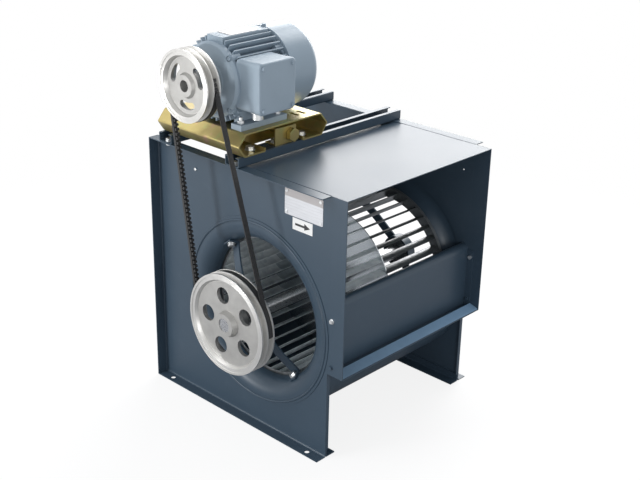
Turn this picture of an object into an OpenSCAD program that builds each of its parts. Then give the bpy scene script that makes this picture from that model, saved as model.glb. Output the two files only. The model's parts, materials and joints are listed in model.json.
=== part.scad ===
// Double-inlet centrifugal blower with a belt drive, in millimetres, +Z up.
// Air leaves along +X, and the drive side with the pulleys faces -Y.
// Every module draws in the fan frame: x = 0 at the front edge of the side plates,
// y = 0 at the middle of the housing and z = 0 at the floor. centred() then moves
// the whole blower, so that its origin lies under the middle of its overall box.

/* [Wheel] */
// Outer radius of the blade wheel
wheel_r = 177.5; // [160:0.5:195]
// Radius of the inner edges of the blades
blade_in_r = 150; // [140:0.5:153]
// Blades on each side of the centre disc
blade_n = 40; // [24:1:44]
// Thickness of a blade
blade_t = 1; // [0.8:0.1:1.5]
// Radius that a blade is rolled to
blade_roll_r = 29; // [27:0.5:32]
// Arc that a blade turns through
blade_turn = 57; // [45:1:58]
// Thickness of the centre disc
disc_t = 2; // [1.5:0.5:3]
// Thickness of an end ring
ring_t = 1.5; // [1:0.5:2]
// Width of the rolled rim of an end ring
ring_rim_w = 8; // [6:1:12]
// Radius of the flange that carries the centre disc
hub_flange_r = 58; // [50:1:70]
// Thickness of the hub flange
hub_flange_t = 6; // [5:0.5:8]
// Radius of the hub boss
hub_boss_r = 26; // [24:0.5:30]
// Length of the hub boss
hub_boss_l = 56; // [46:1:70]

/* [Housing] */
// Width over the two side plates
case_w = 453; // [430:1:480]
// Thickness of the housing sheet
sheet = 2; // [1.5:0.1:2.5]
// Gap between the wheel and the start of the scroll
scroll_gap = 26; // [20:0.5:32]
// Growth of the scroll radius in each quarter turn
scroll_step = 36.8; // [33:0.1:40]
// Turn of the scroll above the level of the axis, up to its tongue
tongue_turn = 27; // [24:1:29]
// Height of the scroll above the floor
under_gap = 21.7; // [20:0.1:30]
// Side plate behind the scroll
rear_margin = 28; // [22:1:40]
// Width of the outward flanges of a side plate
flange = 25; // [22:0.5:30]
// Inward return at the front edge of a side plate
front_return = 9; // [6:1:14]
// Height of the outlet, with its floor
outlet_h = 381; // [360:1:400]
// Length of the outlet collar in front of the side plates
collar_l = 41; // [30:1:60]
// Width of the side flanges of the cut-off plate
cutoff_flange = 15; // [13:1:20]
// Width of the floor leg of a foot angle
foot_leg = 27; // [20:1:32]
// Height of the upright leg of a foot angle
foot_up = 18; // [14:1:19]
// Thickness of a foot angle
foot_t = 3; // [2:0.5:4]
// Radius of a bolt hole in the floor flanges
foot_hole_r = 5.5; // [4.5:0.5:6.5]
// Distance of the floor holes from the ends of a side plate
foot_hole_in = 40; // [30:1:60]

/* [Inlets] */
// Radius of the inlet throat
throat_r = 154; // [150:0.5:158]
// Radius of the rolled bell of an inlet
bell_r = 38; // [34:0.5:42]
// Thickness of an inlet cone
cone_t = 1.5; // [1:0.1:2]
// Width of the flat flange of an inlet cone
cone_flange = 16; // [14:0.5:22]
// Radius of the stiffening bead on the cone flange
bead_r = 2.5; // [2:0.5:3.5]
// Gap between the throat and the wheel
throat_gap = 3.5; // [2.5:0.5:5]

/* [Shaft and bearings] */
// Radius of the fan shaft
shaft_r = 15; // [13:0.5:16]
// Outer radius of a fan bearing
bearing_r = 31; // [30:0.5:33]
// Width of the outer ring of a fan bearing
bearing_w = 18; // [16:1:20]
// Width of the inner ring of a fan bearing
bearing_inner_w = 26; // [22:1:30]
// Radius of a ball in a fan bearing
ball_r = 4.5; // [4:0.1:4.8]
// Balls in each bearing
ball_n = 9; // [7:1:11]
// Wall of the rubber ring around a bearing
cushion_t = 3; // [2.5:0.5:4]
// Wall of the bracket hub
bracket_wall = 4; // [3:0.5:5]
// Length of the bracket hub
bracket_hub_l = 24; // [20:1:26]
// Gap between the side plate and the bracket hub
bracket_out = 0.5; // [0.5:0.5:4]
// Width of a bracket arm
arm_w = 22; // [18:1:26]
// Thickness of a bracket arm
arm_t = 4; // [3:0.5:5]
// Direction of the upper arm, from the air flow towards the top
arm_angle = 128; // [120:1:140]

/* [Belt drive] */
// Pitch radius of the fan pulley
fan_pulley_pr = 106; // [98:0.5:112]
// Pitch radius of the motor pulley
motor_pulley_pr = 70; // [66:0.5:74]
// Height of a pulley rim above its pitch line
groove_add = 3.5; // [3:0.1:4]
// Depth of a groove under the rim
groove_d = 12.5; // [12:0.1:14]
// Width of a groove at the pitch line
groove_w = 11; // [10.5:0.1:11.5]
// Distance between the grooves
groove_pitch = 15; // [15:0.5:17]
// Distance of a groove from the face of the pulley
groove_in = 10; // [9:0.5:12]
// Half angle of a groove
groove_angle = 19; // [17:1:20]
// Height of the belt section
belt_h = 8; // [7:0.1:8.5]
// Height of the belt above its pitch line
belt_add = 2.75; // [2.5:0.05:3]
// Distance of the pulley faces outside the side plate
pulley_out = 87.3; // [84:0.1:100]
// Rim thickness of the fan pulley under its grooves
fan_rim_t = 4.5; // [4:0.5:8]
// Rim thickness of the motor pulley under its grooves
motor_rim_t = 4; // [3.5:0.5:5]
// Thickness of the pulley webs
web_t = 8; // [6:0.5:10]
// Depth of the fan pulley web behind its face
fan_web_in = 8; // [6:0.5:12]
// Depth of the motor pulley web behind its face
motor_web_in = 11; // [8:0.5:14]
// Radius of the holes in the fan pulley
lightening_r = 18; // [14:0.5:19]
// Number of holes in the fan pulley
lightening_n = 5; // [4:1:6]
// Direction of the first hole of the fan pulley
lightening_angle = 32; // [0:1:71]
// Width of the curved slots in the motor pulley
kidney_w = 15; // [12:0.5:16]
// Arc of a curved slot between its end centres
kidney_turn = 40; // [30:1:50]
// Number of curved slots in the motor pulley
kidney_n = 3; // [3:1:4]

/* [Motor place] */
// Distance of the motor shaft behind the fan shaft
motor_back = 114.7; // [90:0.1:130]
// Shaft height of the motor above its feet
motor_h = 91.8; // [90:0.1:95]

/* [Motor] */
// Radius of the motor shaft end
motor_shaft_r = 12; // [11:0.5:12.4]
// Length of the motor shaft end
motor_shaft_l = 50; // [45:1:54]
// Outer radius of the stator core
stator_r = 62; // [58:0.5:63]
// Length of the stator core
stator_l = 80; // [60:1:85]
// Radius of the rotor core
rotor_r = 39.5; // [36:0.5:41]
// Air gap between rotor and stator
rotor_gap = 0.5; // [0.4:0.1:0.8]
// Wall of the motor frame
frame_wall = 6.5; // [5.5:0.5:8]
// Length of the motor frame
frame_l = 124; // [122:1:140]
// Radius over the cooling fins
fin_r = 87; // [82:0.5:88]
// Thickness of a cooling fin
fin_t = 2.4; // [1.8:0.1:3]
// Fins around the whole frame
fin_n = 36; // [28:1:40]
// Length of an end shield outside the frame
shield_l = 15.6; // [14:0.1:18]
// Outer radius of an end shield
shield_r = 77; // [74:0.5:80]
// Wall of an end shield
shield_t = 5; // [4:0.5:6]
// Outer radius of a motor bearing
motor_bearing_r = 26; // [24:0.5:28]
// Width of a motor bearing
motor_bearing_w = 15; // [13:1:16]
// Radius of the shaft in the motor bearings
motor_seat_r = 12.5; // [12.5:0.1:13]
// Radius of the cooling fan cowl
cowl_r = 88; // [84:0.5:90]
// Length of the cooling fan cowl
cowl_l = 81; // [76:1:100]
// Gap between the fins and the cowl
cowl_gap = 5; // [3:0.5:8]
// Rounding of the rear edge of the cowl
cowl_round = 17; // [12:1:20]
// Thickness of the cowl sheet
cowl_t = 1.5; // [1:0.1:2]
// Blades of the cooling fan
cooling_n = 8; // [6:1:10]
// Width of the top pad of the frame
pad_w = 46; // [40:1:52]

/* [Terminal box] */
// Distance of the box floor from the motor axis
box_in = 66; // [65:0.1:68]
// Depth of the box without its cover
box_d = 48.7; // [44:0.1:55]
// Depth of the cover
cover_d = 18; // [14:0.5:24]
// Length of the box along the motor
box_l = 97; // [90:1:105]
// Height of the box
box_h = 102; // [92:1:108]
// Height of the middle of the box above the motor axis
box_up = 2.2; // [0:0.1:6]
// Distance of the box behind the front face of the motor
box_back = 11.6; // [11:0.1:20]
// Wall of the box
box_wall = 3; // [2.5:0.1:4]
// Rounding of the box corners
box_round = 9; // [7:0.5:12]

/* [Motor base] */
// Length of the base along the air flow
base_l = 250; // [244:1:280]
// Height of the base
base_h = 49; // [44:1:56]
// Thickness of the base sheet
base_t = 3; // [2:0.5:4]
// Half width of the flat top
base_top_w = 107; // [100:1:115]
// Half width at the widest fold
base_wide_w = 128; // [122:1:138]
// Half width at the floor
base_foot_w = 111; // [105:1:118]
// Width of a floor lip
base_lip = 58; // [52:1:62]
// Height of the upturned edge of a lip
base_edge = 9; // [6:1:12]
// Middle of the base behind the motor shaft
base_back = 30.3; // [25:0.1:35]
// Middle of the base inside the near side plate
base_in = 99.5; // [96:0.5:110]
// Half travel of the base along its slots
base_travel = 10; // [6:1:10]

/* [Rails] */
// Width of a rail
rail_w = 40; // [36:1:41]
// Height of a rail
rail_h = 21; // [18:0.5:24]
// Thickness of a rail
rail_t = 2; // [1.5:0.1:2.5]
// Width of a lip of a rail
rail_lip = 9; // [7:0.5:10]
// Distance between the middles of the rails
rail_pitch = 208; // [196:1:212]
// Middle of the rails behind the middle of the base
rail_back = 4; // [0:0.5:6]
// Rail end inside the edge of the flanges
rail_end_in = 1.5; // [0:0.5:6]

/* [Fasteners] */
// Radius of a large bolt
bolt_r = 5; // [4.5:0.5:5]
// Radius of a middle bolt
mid_bolt_r = 4; // [3.5:0.1:4]
// Radius of a small screw
screw_r = 2.5; // [2:0.1:2.5]
// Radius of the adjusting screw
adjust_r = 6; // [5:0.5:7]

/* [Plates] */
// Length of the bare data plate
data_l = 103; // [80:1:120]
// Height of the data plate
data_h = 55; // [40:1:60]
// Length of the arrow plate
arrow_l = 54; // [40:1:64]
// Height of the arrow plate
arrow_h = 25; // [20:1:30]
// Thickness of the plates
plate_t = 0.8; // [0.6:0.1:1.2]

/* [Hidden] */
$fn = 96;

// Clearances: pieces fixed to each other, pieces that run, and free faces
seat = 0.02;
run = 0.05;
free = 0.3;
// Overrun of a cut past the face that it leaves
over = 1;
// Radial clearance of a bolt in its hole
hole_play = 0.4;

// Scroll and overall places
half_w = case_w / 2;
inner_w = half_w - sheet;
scroll_r = wheel_r + scroll_gap;
plate_gap = 0.5;
axis_x = -(scroll_r + sheet + plate_gap);
axis_z = under_gap + sheet + scroll_r + scroll_step;
side_h = axis_z + scroll_r + 3 * scroll_step + sheet;
side_l = -axis_x + scroll_r + 2 * scroll_step + sheet + rear_margin;
collar_z = side_h - outlet_h;
edge_y = half_w + flange;
flange_mid = half_w + flange / 2;

// Wheel
throat_end = half_w + cone_t - bell_r;
wheel_half = throat_end - throat_gap;
blade_end = wheel_half - ring_t;
rim_t = 1.2;
ring_in_r = blade_in_r - 1;
mouth_r = throat_r + bell_r;
rivet_n = 6;
rivet_r = 3;
hub_rivet_r = (hub_flange_r + hub_boss_r) / 2;

// Bearings
hub_in_r = bearing_r + seat + cushion_t + seat;
hub_out_r = hub_in_r + bracket_wall;
bearing_y = half_w + bracket_out + bracket_hub_l / 2;
ball_pitch_r = (shaft_r + bearing_r) / 2;
ball_play = 0.1;
race_shoulder = 3.2;
seal_t = 1;
shaft_stub = 3;
shaft_far_y = bearing_y + bearing_inner_w / 2 + shaft_stub;
hub_stand = 4;
shaft_sunk = 1.5;
shaft_near_y = half_w + pulley_out + hub_stand - shaft_sunk;

// Arm path of a bearing bracket: radius and depth inside the outer face of the side
// plate, from the hub to the bell of the inlet, in shares of the way between them
arm_shares = [[0.12, 0.1], [0.33, 0.27], [0.54, 0.44], [0.76, 0.69]];
foot_tilt = 26;
arm_foot_l = 28;
arm_toe = 11;
wall_gap = 0.9;
arm_foot = [
    mouth_r - (bell_r + wall_gap) * cos(foot_tilt),
    bell_r - cone_t - (bell_r + wall_gap) * sin(foot_tilt)];
arm_foot_in = arm_foot + [-sin(foot_tilt), cos(foot_tilt)] * arm_foot_l / 2;
arm_foot_out = arm_foot + [sin(foot_tilt), -cos(foot_tilt)] * arm_toe;
arm_root = [hub_out_r - bracket_wall / 2, -bracket_out - bracket_hub_l / 3];

// Motor and base places
rail_top = side_h + rail_h;
base_z = rail_top + run;
base_top = base_z + base_h;
motor_x = axis_x - motor_back;
motor_z = base_top + motor_h;
pulley_y = -(half_w + pulley_out);
pulley_w = 2 * groove_in + groove_pitch;
belt_y = pulley_y + groove_in + groove_pitch;
motor_shaft_in = 20.2;
motor_y = pulley_y + motor_shaft_in + motor_shaft_l;
frame_y = motor_y + shield_l;
frame_end = frame_y + frame_l;
cowl_y = frame_end + cowl_gap;
cowl_end = cowl_y + cowl_l;
base_y = -half_w + base_in;
base_x = motor_x - base_back;
rail_mid = base_x - rail_back;
rail_front_x = rail_mid + rail_pitch / 2;
rail_rear_x = rail_mid - rail_pitch / 2;
rail_half = edge_y - rail_end_in;

// Belt run between the two pulleys
belt_dx = motor_x - axis_x;
belt_dz = motor_z - axis_z;
belt_c = norm([belt_dx, belt_dz]);
belt_lean = atan2(belt_dz, belt_dx);
belt_tilt = asin((fan_pulley_pr - motor_pulley_pr) / belt_c);

// Overall box
min_x = -side_l;
min_y = -(half_w + pulley_out + hub_stand);
max_y = max(edge_y, shaft_far_y);
mid_x = (collar_l + min_x) / 2;
mid_y = (min_y + max_y) / 2;

// Colours
paint = "#4d5963";
motor_paint = "#8b9aa8";
zinc_yellow = "#b9a860";
zinc = "#c9ccd0";
galvanised = "#b4bcc2";
cast = "#d2d2cf";
steel = "#9aa0a6";
black_rubber = "#1c1c1c";

// Moves the finished blower onto its origin
module centred() translate([-mid_x, -mid_y, 0]) children();

// The far side is the near side mirrored in the middle of the housing
module far_side() mirror([0, 1, 0]) children();

// A block between two corners
module block(lo, hi) translate(lo) cube(hi - lo);

// An outline in x and z, drawn out from y0 to y1
module slab(y0, y1) translate([0, y1, 0]) rotate([90, 0, 0]) linear_extrude(y1 - y0) children();

// An outline in y and z, drawn out from x0 to x1
module bar(x0, x1) translate([x0, 0, 0]) rotate([90, 0, 90]) linear_extrude(x1 - x0) children();

// An outline in radius and y, turned about a shaft at x, z
module turned(x, z) translate([x, 0, z]) rotate([-90, 0, 0]) rotate_extrude() children();

// A rectangle of an outline, from its low corner to its high corner
module span(lo, hi) translate(lo) square(hi - lo);

// A round rod along y
module rod(x, z, y0, y1, r) translate([x, y0, z]) rotate([-90, 0, 0]) cylinder(r = r, h = y1 - y0);

// A round pin or cut along z
module pin(x, y, z0, z1, r) translate([x, y, z0]) cylinder(r = r, h = z1 - z0);

// Rolled sheet: an arc of given inner radius about a centre at x, z, across the housing
module rolled(c, r, a0, a1, w)
    translate([c[0], w, c[1]]) rotate([90, 0, 0]) rotate([0, 0, a0])
        rotate_extrude(angle = a1 - a0) translate([r, 0]) square([sheet, 2 * w]);

// Direction of one leg of a path, and the side that its thickness goes to
function leg(a, b) = (b - a) / norm(b - a);
function left(d) = [-d[1], d[0]];

// Corner of the offset path at point i, by the mitre of its two legs
function mitre(p, i, t) =
    i == 0 ? p[0] + left(leg(p[0], p[1])) * t
    : i == len(p) - 1 ? p[i] + left(leg(p[i - 1], p[i])) * t
    : let (m = left(leg(p[i - 1], p[i])), n = left(leg(p[i], p[i + 1])))
        p[i] + (m + n) * t / (1 + m * n);

// A folded strip: the path and, back again, the same path moved by the thickness
function strip(p, t) = concat(p, [for (i = [len(p) - 1:-1:0]) mitre(p, i, t)]);

// A rectangle with round corners, centred
module soft_rect(w, h, r) {
    square([w - 2 * r, h], center = true);
    square([w, h - 2 * r], center = true);
    for (sx = [-1, 1], sy = [-1, 1])
        translate([sx * (w / 2 - r), sy * (h / 2 - r)]) circle(r);
}

// Hexagon bolt standing on z = 0 and pointing down, with a washer under its head
washer_share = 0.3;
washer_r_share = 2.2;
head_share = 1.3;
hex_r_share = 1.85;
module bolt(r, grip) {
    translate([0, 0, -grip]) cylinder(r = r, h = grip + washer_share * r);
    cylinder(r = washer_r_share * r, h = washer_share * r);
    translate([0, 0, washer_share * r]) cylinder(r = hex_r_share * r, h = head_share * r, $fn = 6);
}

// Nut under the bolt, at the end of its grip
module nut(r, grip) {
    difference() {
        translate([0, 0, -grip]) cylinder(r = hex_r_share * r, h = head_share * r, $fn = 6);
        translate([0, 0, -grip - over]) cylinder(r = r + seat, h = head_share * r + 2 * over);
    }
}

// Housing

module floor_holes()
    for (x = [-side_l + foot_hole_in, -foot_hole_in])
        pin(x, -flange_mid, -over, sheet + over, foot_hole_r);

module rail_holes(z0, z1)
    for (x = [rail_rear_x, rail_front_x])
        pin(x, -flange_mid, z0, z1, mid_bolt_r + hole_play);

module side_plate() color(paint) difference() {
    union() {
        block([-side_l, -half_w, 0], [0, -inner_w, side_h]);
        block([-side_l, -edge_y, side_h - sheet], [0, -inner_w, side_h]);
        block([-side_l, -edge_y, 0], [0, -inner_w, sheet]);
        block([-side_l, -edge_y, 0], [-side_l + sheet, -inner_w, side_h]);
        block([-sheet, -half_w, foot_up + free], [0, -half_w + front_return, collar_z]);
    }
    rod(axis_x, axis_z, -half_w - over, -inner_w + over, mouth_r + over);
    floor_holes();
    rail_holes(side_h - sheet - over, side_h + over);
    rivet_places() rod(0, 0, -half_w - over, -inner_w + over, rivet_pin_r + seat);
}

module side_plate_near() side_plate();
module side_plate_far() far_side() side_plate();

// The scroll is four rolled quarters about the corners of a small square
scroll_half = scroll_step / 2;
tongue_c = [axis_x + scroll_half, axis_z - scroll_half];
tongue_r = scroll_r - scroll_half;
top_x = axis_x + scroll_half;

module scroll_wrap() color(paint) {
    rolled(tongue_c, tongue_r, 0, tongue_turn, inner_w);
    rolled([axis_x - scroll_half, axis_z - scroll_half], scroll_r + scroll_half, -90, 0, inner_w);
    rolled([axis_x - scroll_half, axis_z + scroll_half],
        scroll_r + scroll_half + scroll_step, -180, -90, inner_w);
    rolled([top_x, axis_z + scroll_half],
        scroll_r + scroll_half + 2 * scroll_step, 90, 180, inner_w);
    block([top_x, -inner_w, side_h - sheet], [collar_l, inner_w, side_h]);
}

// The cut-off plate stands in the outlet, and its rolled lip meets the scroll's tongue
lip_r = (sheet - tongue_c[0] - tongue_r * cos(tongue_turn)) / (1 + cos(tongue_turn));
lip_c = tongue_c + (tongue_r + lip_r) * [cos(tongue_turn), sin(tongue_turn)];
cutoff_bolt_x = sheet + cutoff_flange / 2;
cutoff_bolt_in = 16;

module cutoff_bolt_places()
    for (z = [collar_z + sheet + cutoff_bolt_in, lip_c[1] - cutoff_bolt_in])
        translate([cutoff_bolt_x, 0, z]) children();

module cutoff_plate() color(paint) difference() {
    union() {
        block([0, -inner_w, collar_z + sheet], [sheet, inner_w, lip_c[1]]);
        rolled(lip_c, lip_r - sheet, 0, 180 + tongue_turn, inner_w);
        for (s = [-1, 1])
            block([0, s > 0 ? inner_w - sheet : -inner_w, collar_z + sheet],
                [sheet + cutoff_flange, s > 0 ? inner_w : -inner_w + sheet, lip_c[1]]);
    }
    cutoff_bolt_places() rod(0, 0, -half_w, half_w, screw_r + hole_play);
}

module outlet_collar() color(paint) difference() {
    union() {
        block([0, -half_w, collar_z], [collar_l, half_w, collar_z + sheet]);
        block([0, -half_w, collar_z], [collar_l, -inner_w, side_h]);
        block([0, inner_w, collar_z], [collar_l, half_w, side_h]);
    }
    cutoff_bolt_places() rod(0, 0, -half_w - over, half_w + over, screw_r + hole_play);
}

// Bolts of the cut-off plate, from outside through the collar and the side flanges
module cutoff_bolts() color(zinc) for (s = [-1, 1]) cutoff_bolt_places()
    rotate([s > 0 ? -90 : 90, 0, 0]) translate([0, 0, half_w]) {
        bolt(screw_r, 2 * sheet + head_share * screw_r);
        nut(screw_r, 2 * sheet + head_share * screw_r);
    }

// Rolled bell of an inlet, with its flat flange on the outside of the side plate
module inlet_cone() color(paint) difference() {
    turned(axis_x, axis_z) {
        intersection() {
            translate([mouth_r, -throat_end]) difference() {
                circle(bell_r);
                circle(bell_r - cone_t);
            }
            span([throat_r - over, -throat_end - bell_r - over], [mouth_r, -throat_end]);
        }
        span([mouth_r, -half_w - cone_t], [mouth_r + cone_flange, -half_w]);
        intersection() {
            translate([mouth_r + cone_flange / 2, -half_w - cone_t]) circle(bead_r);
            span([mouth_r, -half_w - cone_t - bead_r], [mouth_r + cone_flange, -half_w]);
        }
    }
    arm_bolt_places() cylinder(r = mid_bolt_r + hole_play, h = 2 * arm_foot_l, center = true);
}

module inlet_cone_near() inlet_cone();
module inlet_cone_far() far_side() inlet_cone();

module foot_angles() color(paint) for (s = [-1, 1]) mirror([0, s > 0 ? 1 : 0, 0]) {
    block([-side_l + sheet, -inner_w, 0], [0, -inner_w + foot_t, foot_up]);
    block([-side_l + sheet, -inner_w, 0], [0, -inner_w + foot_leg, foot_t]);
}

// Upward-open channel with inward lips
function rail_path() = let (w = rail_w / 2) [
    [-w + rail_lip, rail_h], [-w, rail_h], [-w, 0], [w, 0], [w, rail_h], [w - rail_lip, rail_h]];

module rail(x) color(paint) difference() {
    translate([x, 0, side_h]) slab(-rail_half, rail_half) polygon(strip(rail_path(), rail_t));
    for (s = [-1, 1]) pin(x, s * flange_mid, side_h - over, side_h + rail_t + over, mid_bolt_r + hole_play);
}

module rail_front() rail(rail_front_x);
module rail_rear() rail(rail_rear_x);

// Bolts that hold the rails on the flanges, heads inside the channels
module rail_bolts() color(zinc) for (x = [rail_rear_x, rail_front_x], y = [-flange_mid, flange_mid])
    translate([x, y, side_h + rail_t]) {
        bolt(mid_bolt_r, rail_t + sheet + head_share * mid_bolt_r);
        nut(mid_bolt_r, rail_t + sheet + head_share * mid_bolt_r);
    }

// Bearings of the fan shaft

module arm_bolt_places() for (a = [arm_angle, arm_angle - 180])
    translate([axis_x, -half_w, axis_z]) rotate([0, -a, 0]) translate([arm_foot[0], arm_foot[1], 0])
        rotate([0, 0, foot_tilt]) rotate([0, 90, 0]) children();

function arm_path() = concat(
    [arm_root],
    [for (s = arm_shares) [
        arm_root[0] + s[0] * (arm_foot_in[0] - arm_root[0]),
        arm_root[1] + s[1] * (arm_foot_in[1] - arm_root[1])]],
    [arm_foot_in, arm_foot_out]);

module bearing_bracket() color(paint) difference() {
    union() {
        turned(axis_x, axis_z)
            span([hub_in_r, -bearing_y - bracket_hub_l / 2], [hub_out_r, -bearing_y + bracket_hub_l / 2]);
        difference() {
            for (a = [arm_angle, arm_angle - 180])
                translate([axis_x, -half_w, axis_z]) rotate([0, -a, 0])
                    translate([0, 0, -arm_w / 2]) linear_extrude(arm_w) polygon(strip(arm_path(), -arm_t));
            rod(axis_x, axis_z, -2 * half_w, 0, hub_in_r + bracket_wall / 2);
        }
    }
    arm_bolt_places() cylinder(r = mid_bolt_r + hole_play, h = arm_foot_l, center = true);
}

module bearing_bracket_near() bearing_bracket();
module bearing_bracket_far() far_side() bearing_bracket();

// Bolts of the arms: heads on the arm feet, nuts behind the bells of the inlets
bell_sag = 1.4;
module bracket_bolts() color(zinc) for (s = [-1, 1]) mirror([0, s > 0 ? 1 : 0, 0])
    arm_bolt_places() {
        translate([0, 0, -arm_t]) rotate([180, 0, 0])
            bolt(mid_bolt_r, arm_t + wall_gap + cone_t + bell_sag + head_share * mid_bolt_r);
        translate([0, 0, -arm_t]) rotate([180, 0, 0])
            nut(mid_bolt_r, arm_t + wall_gap + cone_t + bell_sag + head_share * mid_bolt_r);
    }

module bearing_cushion() color(black_rubber) turned(axis_x, axis_z)
    span([bearing_r + seat, -bearing_y - bearing_w / 2],
        [bearing_r + seat + cushion_t, -bearing_y + bearing_w / 2]);

module bearing_cushions() {
    bearing_cushion();
    far_side() bearing_cushion();
}

// Outer ring of a fan bearing with its two seals
module bearing_outer() color(steel) turned(axis_x, axis_z) {
    difference() {
        span([ball_pitch_r + race_shoulder, -bearing_y - bearing_w / 2],
            [bearing_r, -bearing_y + bearing_w / 2]);
        translate([ball_pitch_r, -bearing_y]) circle(ball_r + ball_play);
    }
    for (s = [-1, 1])
        translate([0, -bearing_y + s * (bearing_w - seal_t) / 2])
            span([ball_pitch_r - race_shoulder + free, -seal_t / 2],
                [ball_pitch_r + race_shoulder, seal_t / 2]);
}

module bearing_outer_near() bearing_outer();
module bearing_outer_far() far_side() bearing_outer();

module bearing_inner() color(steel) turned(axis_x, axis_z) difference() {
    span([shaft_r + seat, -bearing_y - bearing_inner_w / 2],
        [ball_pitch_r - race_shoulder, -bearing_y + bearing_inner_w / 2]);
    translate([ball_pitch_r, -bearing_y]) circle(ball_r + ball_play);
}

module bearing_inner_near() bearing_inner();
module bearing_inner_far() far_side() bearing_inner();

module bearing_balls() color(steel) for (y = [-bearing_y, bearing_y], i = [0:ball_n - 1])
    translate([axis_x, y, axis_z]) rotate([0, i * 360 / ball_n, 0])
        translate([ball_pitch_r, 0, 0]) sphere(r = ball_r, $fn = 32);

// Fan rotor

key_w = 8;
key_h = 7;
key_deep = 4;
key_l = 36;
key_end = 3;

module key_bar(x, z, y0, y1, r, w, h, deep, play)
    block([x - w / 2 - play, y0, z + r - deep - play], [x + w / 2 + play, y1, z + r - deep + h + play]);

module fan_key(play)
    key_bar(axis_x, axis_z, -shaft_near_y + key_end - play, -shaft_near_y + key_end + key_l + play,
        shaft_r, key_w, key_h, key_deep, play);

module fan_shaft() color(steel) difference() {
    rod(axis_x, axis_z, -shaft_near_y, shaft_far_y, shaft_r);
    fan_key(seat);
}

module fan_pulley_key() color(steel) fan_key(0);

module hub_rivet_places() for (i = [0:rivet_n - 1])
    translate([axis_x, 0, axis_z]) rotate([0, i * 360 / rivet_n, 0])
        translate([hub_rivet_r, 0, 0]) children();

module centre_disc() color(galvanised) difference() {
    turned(axis_x, axis_z) span([hub_boss_r + seat, -disc_t / 2], [wheel_r, disc_t / 2]);
    hub_rivet_places() rod(0, 0, -disc_t, disc_t, rivet_r + seat);
}

// Hub with its flange behind the disc, and the rivets that hold the disc
module wheel_hub() color(steel) {
    difference() {
        turned(axis_x, axis_z) {
            span([shaft_r + seat, -hub_boss_l / 2], [hub_boss_r, hub_boss_l / 2]);
            span([shaft_r + seat, disc_t / 2], [hub_flange_r, disc_t / 2 + hub_flange_t]);
        }
        hub_grubs(seat);
    }
    hub_rivet_places() {
        rod(0, 0, -disc_t / 2 - rivet_r, disc_t, rivet_r);
        rod(0, 0, -disc_t / 2 - rivet_r, -disc_t / 2, 2 * rivet_r);
    }
}

// Blades curve forward, towards the turn of the wheel
module blades() color(galvanised) for (i = [0:blade_n - 1])
    translate([axis_x, -blade_end, axis_z]) rotate([-90, 0, 0]) rotate([0, 0, i * 360 / blade_n])
        translate([blade_in_r, blade_roll_r, 0]) rotate([0, 0, -90])
            rotate_extrude(angle = blade_turn)
                translate([blade_roll_r, 0]) square([blade_t, blade_end - disc_t / 2]);

module blades_near() blades();

// The far blades lean the same way, so they are the near ones moved across the disc
module blades_far() translate([0, blade_end + disc_t / 2, 0]) blades();

module end_ring() color(galvanised) turned(axis_x, axis_z) {
    span([ring_in_r, -wheel_half], [wheel_r, -wheel_half + ring_t]);
    span([wheel_r - rim_t, -wheel_half], [wheel_r, -wheel_half + ring_rim_w]);
}

module end_ring_near() end_ring();
module end_ring_far() far_side() end_ring();

// Pulley rim with its two grooves, in radius and y from the front face
function groove_half(h) = groove_w / 2 + h * tan(groove_angle);

module groove_outline(pr) polygon([
    [pr + groove_add - groove_d, -groove_half(groove_add - groove_d)],
    [pr + groove_add + over, -groove_half(groove_add + over)],
    [pr + groove_add + over, groove_half(groove_add + over)],
    [pr + groove_add - groove_d, groove_half(groove_add - groove_d)]]);

rim_draft = 4;
module pulley_outline(pr, rim_in, web_y, bore_r, hub_r, hub_y0, hub_y1) difference() {
    union() {
        polygon([
            [rim_in + rim_draft, 0], [pr + groove_add, 0], [pr + groove_add, pulley_w],
            [rim_in + rim_draft, pulley_w], [rim_in, web_y + web_t], [rim_in, web_y]]);
        span([bore_r, web_y], [rim_in + over, web_y + web_t]);
        polygon([
            [bore_r, hub_y0], [hub_r - rim_draft, hub_y0], [hub_r, web_y],
            [hub_r, web_y + web_t], [hub_r - rim_draft, hub_y1], [bore_r, hub_y1]]);
    }
    for (i = [0, 1]) translate([0, groove_in + i * groove_pitch]) groove_outline(pr);
}

fan_rim_in = fan_pulley_pr + groove_add - groove_d - fan_rim_t;
fan_hub_r = 29;
fan_hub_l = 48;
lightening_pr = (fan_hub_r + fan_rim_in) / 2;

// Grub screws press on the key of the pulley and on the shaft in the wheel hub
grub_r = 3;
grub_in = 6;
key_top = shaft_r - key_deep + key_h;
module grub_screw(r0, r1, play) translate([0, 0, r0])
    cylinder(r = grub_r + play, h = r1 - r0 + (play > 0 ? over : 0));
module pulley_grub(play) translate([axis_x, pulley_y - hub_stand + grub_in, axis_z])
    grub_screw(key_top + free, fan_hub_r - rim_draft, play);
module hub_grubs(play) for (s = [-1, 1])
    translate([axis_x, s * (hub_boss_l / 2 - 2 * grub_in), axis_z])
        grub_screw(shaft_r + free, hub_boss_r, play);
module fan_grub_screws() color(steel) {
    pulley_grub(0);
    hub_grubs(0);
}

module fan_pulley() color(cast) difference() {
    translate([0, pulley_y, 0]) turned(axis_x, axis_z)
        pulley_outline(fan_pulley_pr, fan_rim_in, fan_web_in, shaft_r + seat, fan_hub_r,
            -hub_stand, fan_hub_l - hub_stand);
    for (i = [0:lightening_n - 1])
        translate([axis_x, 0, axis_z]) rotate([0, -lightening_angle - i * 360 / lightening_n, 0])
            rod(lightening_pr, 0, pulley_y - over, pulley_y + pulley_w, lightening_r);
    fan_key(seat);
    pulley_grub(seat);
}

// Motor pulley with its curved slots
motor_rim_in = motor_pulley_pr + groove_add - groove_d - motor_rim_t;
motor_hub_r = 26;
motor_hub_in = 4;
motor_hub_l = 54;
kidney_pr = (motor_hub_r + motor_rim_in) / 2;
kidney_first = 30;

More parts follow.
